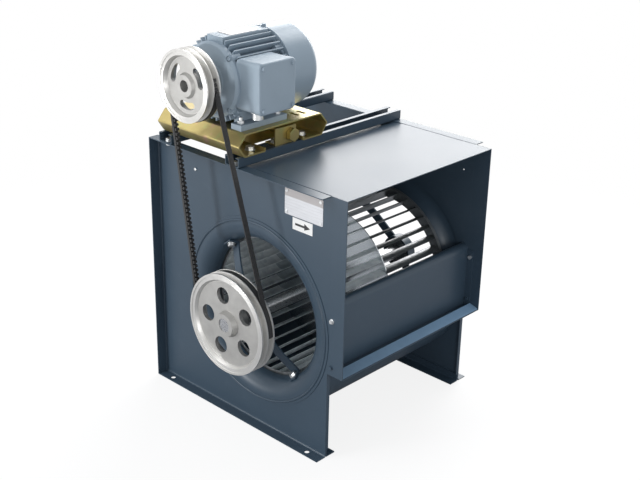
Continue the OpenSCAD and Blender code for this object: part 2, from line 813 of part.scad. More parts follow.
module kidney() {
    rotate([0, 0, -kidney_turn / 2]) rotate_extrude(angle = kidney_turn)
        translate([kidney_pr - kidney_w / 2, 0]) square([kidney_w, pulley_w]);
    for (s = [-1, 1]) rotate([0, 0, s * kidney_turn / 2]) translate([kidney_pr, 0, 0])
        cylinder(r = kidney_w / 2, h = pulley_w);
}

module motor_key(play)
    key_bar(motor_x, motor_z, motor_y - motor_shaft_l + key_end - play, motor_y - 2 * key_end + play,
        motor_shaft_r, key_w, key_h, key_deep, play);

module motor_pulley() color(cast) difference() {
    translate([0, pulley_y, 0]) turned(motor_x, motor_z)
        pulley_outline(motor_pulley_pr, motor_rim_in, motor_web_in, motor_shaft_r + seat, motor_hub_r,
            motor_hub_in, motor_hub_l + motor_hub_in);
    for (i = [0:kidney_n - 1])
        translate([motor_x, pulley_y, motor_z]) rotate([-90, 0, 0])
            rotate([0, 0, -kidney_first - i * 360 / kidney_n]) kidney();
    motor_key(seat);
}

module motor_pulley_key() color(steel) motor_key(0);

// Wedge belt in the rear grooves: rings of its four corners, round both pulleys
belt_step = 5;
belt_top = belt_add - free;
belt_low = belt_add - belt_h;
belt_corners = [
    [belt_low, free - groove_half(belt_low)], [belt_top, free - groove_half(belt_top)],
    [belt_top, groove_half(belt_top) - free], [belt_low, groove_half(belt_low) - free]];

function belt_rings(x, z, pr, a0, turn) = let (n = ceil(turn / belt_step))
    [for (i = [0:n], q = belt_corners) let (a = a0 + turn * i / n)
        [x + (pr + q[0]) * cos(a), belt_y + q[1], z + (pr + q[0]) * sin(a)]];

module drive_belt() color(black_rubber) {
    points = concat(
        belt_rings(axis_x, axis_z, fan_pulley_pr, belt_lean + 90 - belt_tilt, 180 + 2 * belt_tilt),
        belt_rings(motor_x, motor_z, motor_pulley_pr, belt_lean - 90 + belt_tilt, 180 - 2 * belt_tilt));
    n = len(points);
    polyhedron(points, [for (i = [0:4:n - 1], k = [0:3], half = [0, 1])
        let (a = i + k, b = i + (k + 1) % 4, c = (b + 4) % n, d = (a + 4) % n)
            half == 0 ? [a, b, c] : [a, c, d]]);
}

// Motor base and its clamps

function base_path() = [
    [base_foot_w - base_lip, base_edge], [base_foot_w - base_lip, 0], [base_foot_w, 0],
    [base_wide_w, base_h / 2], [base_top_w, base_h], [-base_top_w, base_h],
    [-base_wide_w, base_h / 2], [-base_foot_w, 0], [-base_foot_w + base_lip, 0],
    [-base_foot_w + base_lip, base_edge]];

clamp_in = 20;
clamp_y = base_foot_w - base_lip + clamp_in;
clamp_hole_r = bolt_r + 2 * hole_play;
nut_block_front = 20;
nut_block_x = base_x + nut_block_front;
nut_block_l = 22;
nut_block_w = 26;
// The bracket on the front rail stands between the lips, in front of the nut block
bracket_w = 60;
bracket_play = 8;
bracket_side = base_foot_w - base_lip - bracket_play - bracket_w / 2;
adjust_side = bracket_side + bracket_w / 4;
adjust_up = 17;
adjust_y = base_y + adjust_side;
adjust_z = base_z + adjust_up;
foot_bolt_x = 62.5;
foot_bolt_front = 26;
foot_bolt_pitch = 100;
spare_slot_l = 18;
spare_slot_y = [60, 80];

module long_hole(x0, x1, y, z0, z1, r) {
    block([x0, y - r, z0], [x1, y + r, z1]);
    pin(x0, y, z0, z1, r);
    pin(x1, y, z0, z1, r);
}

module foot_bolt_places() for (sx = [-1, 1], y = [0, foot_bolt_pitch])
    translate([motor_x + sx * foot_bolt_x, motor_y + foot_bolt_front + y, 0]) children();

module motor_base() color(zinc_yellow) difference() {
    union() {
        translate([0, base_y, base_z]) bar(base_x - base_l / 2, base_x + base_l / 2)
            polygon(strip(base_path(), base_t));
        block([nut_block_x - nut_block_l, adjust_y - nut_block_w / 2, adjust_z - nut_block_w / 2],
            [nut_block_x, adjust_y + nut_block_w / 2, base_top - base_t]);
    }
    translate([nut_block_x - nut_block_l - over, adjust_y, adjust_z]) rotate([0, 90, 0])
        cylinder(r = adjust_r + run, h = nut_block_l + 2 * over);
    for (s = [-1, 1]) {
        long_hole(rail_front_x - base_travel, rail_front_x + base_travel, base_y + s * clamp_y,
            base_z - over, base_z + base_t + over, clamp_hole_r);
        long_hole(rail_rear_x - 2 * base_travel - rail_w, rail_rear_x + base_travel, base_y + s * clamp_y,
            base_z - over, base_z + base_t + over, clamp_hole_r);
    }
    foot_bolt_places() pin(0, 0, base_top - base_t - over, base_top + over, mid_bolt_r + hole_play);
    for (y = spare_slot_y)
        long_hole(motor_x + foot_bolt_x - spare_slot_l / 2, motor_x + foot_bolt_x + spare_slot_l / 2,
            base_y + y, base_top - base_t - over, base_top + over, mid_bolt_r + hole_play);
}

// Clamp bolts with their nuts in the rails, which stay put while the base slides
channel_nut_l = 30;
channel_nut_t = 7;
channel_bolt_drop = rail_t + free + channel_nut_t;
module channel_bolt(r, grip) {
    bolt(r, grip + channel_bolt_drop);
    translate([0, 0, -grip - channel_bolt_drop]) difference() {
        translate([-rail_w / 2 + rail_t + free, -channel_nut_l / 2, 0])
            cube([rail_w - 2 * rail_t - 2 * free, channel_nut_l, channel_nut_t]);
        translate([0, 0, -over]) cylinder(r = r + seat, h = channel_nut_t + 2 * over);
    }
}
module clamp_bolts() color(zinc) {
    for (x = [rail_rear_x, rail_front_x], s = [-1, 1])
        translate([x, base_y + s * clamp_y, base_z + base_t + run]) channel_bolt(bolt_r, base_t + 2 * run);
    translate([rail_front_x, bracket_screw_y, rail_top + bracket_t])
        channel_bolt(mid_bolt_r, bracket_t);
}

// Bracket on the front rail that the head of the adjusting screw pulls against
bracket_t = 4;
bracket_h = 36;
bracket_front = 13.5;
bracket_leg = 30;
bracket_screw_in = 20;
bracket_y = base_y + bracket_side;
bracket_x = rail_front_x + bracket_front;
bracket_screw_y = bracket_y - bracket_screw_in;

module clamp_bracket() color(zinc_yellow) difference() {
    union() {
        block([bracket_x - bracket_leg, bracket_y - bracket_w / 2, rail_top],
            [bracket_x, bracket_y + bracket_w / 2, rail_top + bracket_t]);
        block([bracket_x - bracket_t, bracket_y - bracket_w / 2, rail_top],
            [bracket_x, bracket_y + bracket_w / 2, rail_top + bracket_h]);
    }
    translate([bracket_x - bracket_t - over, adjust_y, adjust_z]) rotate([0, 90, 0])
        cylinder(r = adjust_r + run, h = bracket_t + 2 * over);
    pin(rail_front_x, bracket_screw_y, rail_top - over, rail_top + bracket_t + over,
        mid_bolt_r + hole_play);
}

adjust_head_h = 11;
adjust_head_r = 15;
adjust_tail = 6;
adjust_l = bracket_x - nut_block_x + nut_block_l + base_travel + adjust_tail;
module adjusting_screw() color(zinc_yellow) {
    translate([bracket_x + free, adjust_y, adjust_z]) rotate([0, 90, 0])
        cylinder(r = adjust_head_r, h = adjust_head_h, $fn = 6);
    translate([bracket_x - adjust_l, adjust_y, adjust_z]) rotate([0, 90, 0])
        cylinder(r = adjust_r, h = adjust_l + free);
}

// Motor

module at_motor() translate([motor_x, 0, motor_z]) children();

box_y0 = motor_y + box_back;
box_mid = [box_y0 + box_l / 2, box_up];
riser_in = 38;
riser_out = 54;
foot_out = 78;
foot_pad_t = 12;
foot_lap = 14;
foot_y0 = motor_y + foot_bolt_front - foot_lap;
foot_y1 = foot_y0 + foot_bolt_pitch + 2 * foot_lap;

// Room of the box between the fins, with its upper and lower sides along radii
module box_room(play) let (
    x = box_in - play, grow = (fin_r + over) / x,
    z0 = box_up - box_h / 2 - play, z1 = box_up + box_h / 2 + play)
    slab(box_y0 - play, box_y0 + box_l + play)
        polygon([[x, z0], [x * grow, z0 * grow], [x * grow, z1 * grow], [x, z1]]);

module foot_riser(s, out, play)
    mirror([s > 0 ? 0 : 1, 0, 0])
        block([riser_in - play, frame_y + boss_l + free - play, -motor_h],
            [out + play, frame_end - boss_l - free + play, -riser_in]);

// Bosses on the frame that the end shields are screwed to
boss_l = 14;
module frame_bosses() for (a = [45:90:315]) rotate([0, a, 0]) for (y = [frame_y, frame_end - boss_l])
    rod(lug_pr, 0, y, y + boss_l, lug_r);

module frame_outline(r_in) difference() {
    union() {
        circle(stator_r + frame_wall);
        for (i = [0:fin_n - 1]) rotate([0, 0, i * 360 / fin_n])
            translate([stator_r, -fin_t / 2]) square([fin_r - stator_r, fin_t]);
        translate([-pad_w / 2, 0]) square([pad_w, fin_r]);
    }
    circle(r_in);
}

module motor_frame() color(motor_paint) at_motor() difference() {
    union() {
        slab(frame_y, frame_end) frame_outline(stator_r + seat);
        difference() {
            frame_bosses();
            rod(0, 0, frame_y - over, frame_end + over, stator_r + frame_wall / 2);
        }
    }
    box_room(seat);
    for (s = [-1, 1]) foot_riser(s, fin_r, seat);
    lug_places() rod(0, 0, frame_y - over, frame_y + screw_in + over, screw_r + seat);
    lug_places() rod(0, 0, frame_end - screw_in - over, frame_end + over, screw_r + seat);
}

module motor_feet() color(motor_paint) difference() {
    at_motor() difference() {
        for (s = [-1, 1]) {
            foot_riser(s, riser_out, 0);
            mirror([s > 0 ? 0 : 1, 0, 0])
                block([foot_bolt_x - foot_lap, foot_y0, -motor_h],
                    [foot_out, foot_y1, -motor_h + foot_pad_t]);
        }
        rod(0, 0, foot_y0 - over, foot_y1 + over, stator_r + frame_wall + seat);
    }
    foot_bolt_places() pin(0, 0, base_top - over, base_top + foot_pad_t + over, mid_bolt_r + hole_play);
}

// End shields with bearing seats and screw lugs
lug_r = 8;
lug_t = 8;
lug_in = 3;
lug_pr = shield_r - lug_in;
screw_in = 10;
spigot_l = 6;
boss_wall = 4.5;
seal_play = 1.5;
seal_r = motor_seat_r + seal_play;
bearing_front_y = motor_y + shield_t;
bearing_rear_y = frame_end + shield_l - shield_t - motor_bearing_w;

module lug_places() for (a = [45:90:315]) rotate([0, a, 0]) translate([lug_pr, 0, 0]) children();

// Profile of an end shield in radius and distance from its outer face
module shield_outline() {
    polygon([
        [seal_r, 0], [motor_bearing_r + 2 * boss_wall, 0], [motor_bearing_r + 3 * boss_wall, shield_t / 2],
        [shield_r - shield_t, shield_t / 2], [shield_r, shield_t * 1.5], [shield_r, shield_l],
        [shield_r - shield_t, shield_l], [shield_r - shield_t, shield_t], [seal_r, shield_t]]);
    span([motor_bearing_r + seat, shield_t / 2], [motor_bearing_r + boss_wall, shield_t + motor_bearing_w]);
    span([stator_r - shield_t, shield_l - shield_t], [shield_r, shield_l]);
    span([stator_r - shield_t, shield_l - over], [stator_r, shield_l + spigot_l]);
}

module end_shield() difference() {
    union() {
        rotate([-90, 0, 0]) rotate_extrude() shield_outline();
        lug_places() rod(0, 0, shield_l - lug_t, shield_l - free, lug_r);
        children();
    }
    lug_places() rod(0, 0, -over, shield_l + over, screw_r + seat);
    lug_places() rod(0, 0, -over, shield_l - lug_t, washer_r_share * screw_r + hole_play);
}

module end_shield_front() color(motor_paint) at_motor() translate([0, motor_y, 0]) end_shield();

// The rear shield also carries the cowl, on a rim that its screws go into
cowl_screw_in = 4;
cowl_screw_turns = [0, 180, 270];
cowl_screw_y = cowl_y + cowl_screw_in;
cowl_rim_l = 8;
module end_shield_rear() color(motor_paint) at_motor() difference() {
    translate([0, frame_end + shield_l, 0]) mirror([0, 1, 0]) end_shield() difference() {
        rod(0, 0, shield_l - cowl_gap - cowl_rim_l, shield_l - cowl_gap, cowl_r - cowl_t - seat);
        rod(0, 0, 0, shield_l, shield_r - shield_t / 2);
    }
    for (a = cowl_screw_turns) rotate([0, a, 0]) translate([shield_r, cowl_screw_y, 0])
        rotate([0, 90, 0]) cylinder(r = screw_r + seat, h = cowl_r - shield_r);
}

// Small screws of the motor: end shields, cowl and terminal cover
cover_screw_in = 9;
cover_screw_l = 12;
module motor_screws() color(zinc) at_motor() {
    for (a = [45:90:315]) rotate([0, a, 0]) {
        translate([lug_pr, motor_y + shield_l - lug_t, 0]) rotate([90, 0, 0])
            bolt(screw_r, lug_t + screw_in);
        translate([lug_pr, frame_end + lug_t, 0]) rotate([-90, 0, 0]) bolt(screw_r, lug_t + screw_in);
    }
    for (a = cowl_screw_turns) rotate([0, a, 0])
        translate([cowl_r, cowl_screw_y, 0]) rotate([0, 90, 0]) bolt(screw_r, cowl_r - shield_r - over);
    cover_screw_places() bolt(screw_r, cover_d + cover_screw_l);
}

module cover_screw_places() for (y = [-1, 1], z = [-1, 1])
    translate([box_in + box_d + cover_d, box_mid[0] + y * (box_l / 2 - cover_screw_in),
        box_mid[1] + z * (box_h / 2 - cover_screw_in)]) rotate([0, 90, 0]) children();

core_y = frame_y + (frame_l - stator_l) / 2;
slot_in_r = rotor_r + rotor_gap;
module stator_core() color(steel) at_motor()
    difference() {
        rod(0, 0, core_y, core_y + stator_l, stator_r);
        rod(0, 0, core_y - over, core_y + stator_l + over, slot_in_r);
    }

winding_in = 3;
winding_l = 13;
module stator_windings() color("#a8622e") at_motor() for (y = [core_y - winding_l, core_y + stator_l])
    difference() {
        rod(0, 0, y, y + winding_l, stator_r - 2 * winding_in);
        rod(0, 0, y - over, y + winding_l + over, slot_in_r + winding_in);
    }

// Terminal box, open towards its cover
module box_outline(inset) translate([box_mid[0], box_mid[1]])
    soft_rect(box_l - 2 * inset, box_h - 2 * inset, box_round - inset);

gland_r = 10;
gland_l = 20;
gland_in = 22;
gland_back = 32;
gland_x = box_in + box_d - gland_in;
gland_y = box_y0 + gland_back;

box_post_r = 6.5;
cover_lap = 1;
module terminal_box() color(motor_paint) at_motor() difference() {
    union() {
        difference() {
            bar(box_in, box_in + box_d) box_outline(0);
            bar(shield_r + box_wall, box_in + box_d + over) box_outline(box_wall);
            translate([0, box_wall + shield_l - box_back, 0])
                bar(box_in + box_wall, shield_r + 2 * box_wall) intersection() {
                    box_outline(box_wall);
                    translate([-box_wall - shield_l + box_back, 0]) box_outline(box_wall);
                }
        }
        cover_screw_places() translate([0, 0, -cover_d - box_d + box_wall / 2])
            cylinder(r = box_post_r, h = box_d - box_wall / 2);
    }
    cover_screw_places() translate([0, 0, -cover_d - cover_screw_l - over])
        cylinder(r = screw_r + seat, h = cover_screw_l + 2 * over);
    rod(0, 0, motor_y - over, frame_y + seat, shield_r + seat);
    pin(gland_x, gland_y, box_up - box_h / 2 - over, box_up - box_h / 2 + box_wall + over, gland_r + seat);
}

module terminal_cover() color(motor_paint) at_motor() difference() {
    bar(box_in + box_d, box_in + box_d + cover_d) box_outline(-cover_lap);
    bar(box_in + box_d - over, box_in + box_d + cover_d - box_wall) box_outline(box_wall);
    cover_screw_places() translate([0, 0, -box_wall - over])
        cylinder(r = screw_r + hole_play, h = box_wall + 2 * over);
}

post_r = 3;
module terminal_block() color("#3a2a20") at_motor() {
    block([box_in + box_wall, box_mid[0] - box_l / 5, box_up - box_h / 5],
        [box_in + box_wall + 4 * post_r, box_mid[0] + box_l / 5, box_up + box_h / 5]);
    for (y = [-1, 0, 1], z = [-1, 1])
        translate([box_in + box_wall, box_mid[0] + y * box_l / 8, box_up + z * box_h / 10])
            rotate([0, 90, 0]) cylinder(r = post_r, h = 8 * post_r);
}

// Cable gland, empty and pointing down
cable_r = 5;
gland_nut_l = 5;
gland_cap_share = 1.1;
gland_hex_share = 1.35;
module cable_gland() color(zinc) at_motor() translate([gland_x, gland_y, box_up - box_h / 2])
    difference() {
        union() {
            translate([0, 0, -gland_l / 3])
                cylinder(r = gland_hex_share * gland_r, h = gland_l / 3, $fn = 6);
            translate([0, 0, -gland_l]) cylinder(r = gland_cap_share * gland_r, h = gland_l);
            cylinder(r = gland_r, h = box_wall + gland_nut_l);
            translate([0, 0, box_wall])
                cylinder(r = gland_hex_share * gland_r, h = gland_nut_l, $fn = 6);
        }
        translate([0, 0, -gland_l - over])
            cylinder(r = cable_r, h = gland_l + box_wall + gland_nut_l + 2 * over);
    }

// Cooling fan cowl with its grille
grille_r = 3.5;
grille_rings = [24, 38, 52];
grille_counts = [12, 18, 26];

// Outline of the cowl in radius and y, moved in by the inset
module cowl_shape(inset, y0) {
    span([0, y0], [cowl_r - inset, cowl_end - cowl_round]);
    span([0, y0], [cowl_r - cowl_round, cowl_end - inset]);
    translate([cowl_r - cowl_round, cowl_end - cowl_round]) circle(cowl_round - inset);
}

module fan_cowl() color(motor_paint) at_motor() difference() {
    rotate([-90, 0, 0]) rotate_extrude() difference() {
        cowl_shape(0, cowl_y);
        cowl_shape(cowl_t, cowl_y - over);
    }
    for (a = cowl_screw_turns) rotate([0, a, 0]) translate([shield_r, cowl_screw_y, 0]) rotate([0, 90, 0])
        cylinder(r = screw_r + hole_play, h = cowl_r);
    for (k = [0:len(grille_rings) - 1], i = [0:grille_counts[k] - 1])
        rotate([0, i * 360 / grille_counts[k], 0])
            rod(grille_rings[k], 0, cowl_end - cowl_t - over, cowl_end + over, grille_r);
}

nameplate_side = 3;
nameplate_in = 25;
module motor_nameplate() color(zinc) at_motor()
    block([-pad_w / 2 + nameplate_side, frame_y + nameplate_in, fin_r],
        [pad_w / 2 - nameplate_side, frame_end - nameplate_in, fin_r + plate_t]);

module motor_bolts() color(zinc) {
    foot_bolt_places() translate([0, 0, base_top - base_t]) {
        rotate([180, 0, 0]) bolt(mid_bolt_r, base_t + foot_pad_t + 3 * mid_bolt_r);
        translate([0, 0, base_t + foot_pad_t]) rotate([180, 0, 0]) nut(mid_bolt_r, head_share * mid_bolt_r);
    }
}

// Deep-groove bearings of the motor, front and rear
module motor_bearings() color(steel) at_motor() for (y = [bearing_front_y, bearing_rear_y])
    rotate([-90, 0, 0]) rotate_extrude()
        span([motor_seat_r + run, y], [motor_bearing_r, y + motor_bearing_w]);

fan_seat_r = 8;
shaft_mid_r = 17;
cooling_gap = 6;
cooling_y = frame_end + shield_l + cooling_gap;
cooling_l = 34;
module motor_shaft() color(steel) difference() {
    at_motor() {
        rod(0, 0, motor_y - motor_shaft_l, motor_y, motor_shaft_r);
        rod(0, 0, motor_y, frame_end + shield_l, motor_seat_r);
        rod(0, 0, bearing_front_y + motor_bearing_w + free, bearing_rear_y - free, shaft_mid_r);
        rod(0, 0, frame_end, cooling_y + cooling_l, fan_seat_r);
    }
    motor_key(seat);
}

module rotor_core() color(steel) at_motor() difference() {
    rod(0, 0, core_y, core_y + stator_l, rotor_r);
    rod(0, 0, core_y - over, core_y + stator_l + over, shaft_mid_r + seat);
}

cooling_hub_r = 15;
cooling_play = 16;
cooling_r = cowl_r - cooling_play;
cooling_t = 2;
module cooling_fan() color("#30343a") at_motor() {
    rotate([-90, 0, 0]) rotate_extrude() {
        span([fan_seat_r + seat, cooling_y], [cooling_hub_r, cooling_y + cooling_l]);
        span([fan_seat_r + seat, cooling_y], [cooling_r, cooling_y + cooling_t]);
    }
    for (i = [0:cooling_n - 1]) rotate([0, i * 360 / cooling_n, 0])
        block([cooling_hub_r - over, cooling_y, -cooling_t / 2],
            [cooling_r, cooling_y + cooling_l, cooling_t / 2]);
}

// Plates on the near side plate

rivet_pin_r = 1.6;
rivet_head_r = 3.2;
rivet_head_h = 1.4;
data_in = 20;
data_down = 14;
data_x = -data_in;
data_z = side_h - data_down;
arrow_in = 47;
arrow_down = 2;
arrow_x = -arrow_in;
arrow_z = data_z - data_h - arrow_down;
spare_in = 390;
spare_down = 47;
rivet_in = 6;

module rivet_places() {
    for (x = [data_x - rivet_in, data_x - data_l + rivet_in],
            z = [data_z - rivet_in, data_z - data_h + rivet_in])
        translate([x, 0, z]) children();
    translate([-spare_in, 0, side_h - spare_down]) children();
}

module data_plate() color("#b9bcc0") difference() {
    slab(-half_w - plate_t, -half_w)
        translate([data_x - data_l / 2, data_z - data_h / 2]) soft_rect(data_l, data_h, rivet_in / 2);
    rivet_places() rod(0, 0, -half_w - over, -half_w + over, rivet_pin_r + seat);
}

module arrow_plate() color("white")
    block([arrow_x - arrow_l, -half_w - plate_t, arrow_z - arrow_h], [arrow_x, -half_w, arrow_z]);

mark_t = 0.4;
mark_shares = [
    [-0.36, -0.09], [0.1, -0.09], [0.1, -0.27], [0.38, 0], [0.1, 0.27], [0.1, 0.09], [-0.36, 0.09]];
module arrow_mark() color("black") translate([arrow_x - arrow_l / 2, 0, arrow_z - arrow_h / 2])
    slab(-half_w - plate_t - mark_t, -half_w - plate_t)
        polygon([for (s = mark_shares) [s[0] * arrow_l, s[1] * arrow_h]]);

module plate_rivets() color(zinc) rivet_places() {
    rod(0, 0, -half_w - plate_t - rivet_head_h, -half_w - plate_t, rivet_head_r);
    rod(0, 0, -half_w - plate_t - rivet_head_h, -inner_w, rivet_pin_r);
}

centred() side_plate_near();
centred() side_plate_far();
centred() scroll_wrap();
centred() cutoff_plate();
centred() outlet_collar();
centred() inlet_cone_near();
centred() inlet_cone_far();
centred() foot_angles();
centred() rail_front();
centred() rail_rear();
centred() bearing_bracket_near();
centred() bearing_bracket_far();
centred() bearing_cushions();
centred() bearing_outer_near();
centred() bearing_outer_far();
centred() bracket_bolts();
centred() cutoff_bolts();
centred() rail_bolts();
centred() clamp_bolts();
centred() data_plate();
centred() arrow_plate();
centred() arrow_mark();
centred() plate_rivets();
centred() drive_belt();
centred() clamp_bracket();
centred() fan_shaft();
centred() bearing_inner_near();
centred() bearing_inner_far();
centred() bearing_balls();
centred() centre_disc();
centred() wheel_hub();
centred() blades_near();
centred() blades_far();
centred() end_ring_near();
centred() end_ring_far();
centred() fan_pulley();
centred() fan_pulley_key();
centred() fan_grub_screws();
centred() adjusting_screw();
centred() motor_base();
centred() motor_frame();
centred() motor_feet();
centred() end_shield_front();
centred() end_shield_rear();
centred() stator_core();
centred() stator_windings();
centred() terminal_box();
centred() terminal_cover();
centred() terminal_block();
centred() cable_gland();
centred() fan_cowl();
centred() motor_nameplate();
centred() motor_bolts();
centred() motor_screws();
centred() motor_bearings();
centred() motor_shaft();
centred() rotor_core();
centred() cooling_fan();
centred() motor_pulley();
centred() motor_pulley_key();
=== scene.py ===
import json
import math

import bpy
from bpy.props import FloatProperty, FloatVectorProperty, IntProperty, PointerProperty
from mathutils import Matrix, Vector

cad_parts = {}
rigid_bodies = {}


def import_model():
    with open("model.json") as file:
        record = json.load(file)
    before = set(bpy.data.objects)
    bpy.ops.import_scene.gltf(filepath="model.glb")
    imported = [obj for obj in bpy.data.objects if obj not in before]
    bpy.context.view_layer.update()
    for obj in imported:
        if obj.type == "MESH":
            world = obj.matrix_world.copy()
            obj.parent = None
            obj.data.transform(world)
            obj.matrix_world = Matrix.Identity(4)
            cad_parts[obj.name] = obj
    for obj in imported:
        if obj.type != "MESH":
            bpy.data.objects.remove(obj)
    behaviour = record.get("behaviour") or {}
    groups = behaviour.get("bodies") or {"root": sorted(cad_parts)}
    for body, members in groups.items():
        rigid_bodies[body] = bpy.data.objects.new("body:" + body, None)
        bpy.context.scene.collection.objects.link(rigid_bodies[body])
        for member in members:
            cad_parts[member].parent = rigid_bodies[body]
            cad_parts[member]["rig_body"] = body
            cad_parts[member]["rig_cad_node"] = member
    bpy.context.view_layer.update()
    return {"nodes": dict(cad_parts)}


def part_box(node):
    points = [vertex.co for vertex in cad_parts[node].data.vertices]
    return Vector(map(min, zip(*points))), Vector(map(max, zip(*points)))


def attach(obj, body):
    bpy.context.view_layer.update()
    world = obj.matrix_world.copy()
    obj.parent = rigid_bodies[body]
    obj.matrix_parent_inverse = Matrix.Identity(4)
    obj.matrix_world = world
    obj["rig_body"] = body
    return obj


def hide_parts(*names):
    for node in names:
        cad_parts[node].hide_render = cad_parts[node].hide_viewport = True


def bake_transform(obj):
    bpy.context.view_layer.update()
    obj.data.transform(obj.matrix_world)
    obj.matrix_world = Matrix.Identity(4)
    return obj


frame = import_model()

bl_info = {
    "name": "Centrifugal Blower",
    "version": (1, 0, 0),
    "blender": (4, 5, 0),
    "location": "View3D > Sidebar > Blower",
    "description": "Dresses a belt-driven centrifugal blower around its construction model",
    "category": "Add Mesh",
}

MM = 0.001


def srgb(red, green, blue):
    """A colour written as 0 to 255 display values, as linear values."""
    def linear(value):
        share = value / 255
        return share / 12.92 if share <= 0.04045 else ((share + 0.055) / 1.055) ** 2.4
    return linear(red), linear(green), linear(blue)


def middle(node):
    """Centre of a construction node's box."""
    low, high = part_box(node)
    return (Vector(low) + Vector(high)) / 2


# Places that the construction model fixes
FAN_AXIS = middle("fan_pulley")
MOTOR_AXIS = middle("motor_pulley")
AXIS_Y = (0, 1, 0)

# Roundings of small edges: housing sheet, thin sheet and bolts, screws, plates
SHEET_EDGE, THIN_EDGE, SCREW_EDGE, PLATE_EDGE = 0.6 * MM, 0.4 * MM, 0.3 * MM, 0.2 * MM
CONE_EDGE, FRAME_EDGE, BRACKET_EDGE = 0.5 * MM, 0.7 * MM, 0.9 * MM

# Points closer than this are one point, in drawn outlines and in the construction meshes
DRAWN_SEAM, MESH_SEAM = 0.002 * MM, 0.01 * MM


class BlowerSizes(bpy.types.PropertyGroup):
    """Sizes of the finish: roundings and small repeats"""
    fold_r: FloatProperty(
        name="Fold radius", description="Outer radius of a fold in the housing sheet",
        default=3 * MM, unit="LENGTH")
    cast_r: FloatProperty(
        name="Cast edge", description="Rounding of an edge on a casting",
        default=1.6 * MM, unit="LENGTH")
    round_steps: IntProperty(
        name="Round steps", description="Faces around a large turned piece",
        default=128, min=32, max=256)
    cog_pitch: FloatProperty(
        name="Cog pitch", description="Distance between the cogs of the drive belt",
        default=9.5 * MM, unit="LENGTH")


class BlowerColours(bpy.types.PropertyGroup):
    """Colours of the finishes"""
    housing: FloatVectorProperty(
        name="Housing", description="Paint of the housing sheet",
        default=srgb(56, 72, 86), size=3, subtype="COLOR", min=0, max=1)
    motor: FloatVectorProperty(
        name="Motor", description="Paint of the motor",
        default=srgb(148, 163, 175), size=3, subtype="COLOR", min=0, max=1)
    passivated: FloatVectorProperty(
        name="Yellow zinc", description="Yellow-passivated zinc of the motor base",
        default=srgb(184, 168, 112), size=3, subtype="COLOR", min=0, max=1)
    zinc: FloatVectorProperty(
        name="Bright zinc", description="Bright zinc of the bolts",
        default=srgb(205, 207, 208), size=3, subtype="COLOR", min=0, max=1)
    galvanised: FloatVectorProperty(
        name="Galvanised", description="Galvanised sheet of the wheel",
        default=srgb(196, 202, 206), size=3, subtype="COLOR", min=0, max=1)
    cast: FloatVectorProperty(
        name="Cast metal", description="Cast and machined metal of the pulleys",
        default=srgb(206, 205, 202), size=3, subtype="COLOR", min=0, max=1)
    rubber: FloatVectorProperty(
        name="Rubber", description="Rubber of the belt and the cushions",
        default=srgb(34, 34, 35), size=3, subtype="COLOR", min=0, max=1)


def sizes():
    """The sizes set in the panel."""
    return bpy.context.scene.blower_sizes


def colours():
    """The colours set in the panel."""
    return bpy.context.scene.blower_colours


class Link:
    """A node's output, so that shader maths is written as plain sums."""

    def __init__(self, finish, socket):
        self.finish = finish
        self.socket = socket

    def maths(self, operation, first, second):
        return self.finish.node("ShaderNodeMath", {"operation": operation}, {0: first, 1: second})

    def __add__(self, other):
        return self.maths("ADD", self, other)

    def __radd__(self, other):
        return self.maths("ADD", other, self)

    def __sub__(self, other):
        return self.maths("SUBTRACT", self, other)

    def __rsub__(self, other):
        return self.maths("SUBTRACT", other, self)

    def __mul__(self, other):
        return self.maths("MULTIPLY", self, other)

    def __rmul__(self, other):
        return self.maths("MULTIPLY", other, self)


# Sets the names of the finishes apart from the plain materials of the construction model
LOOK = "_look"


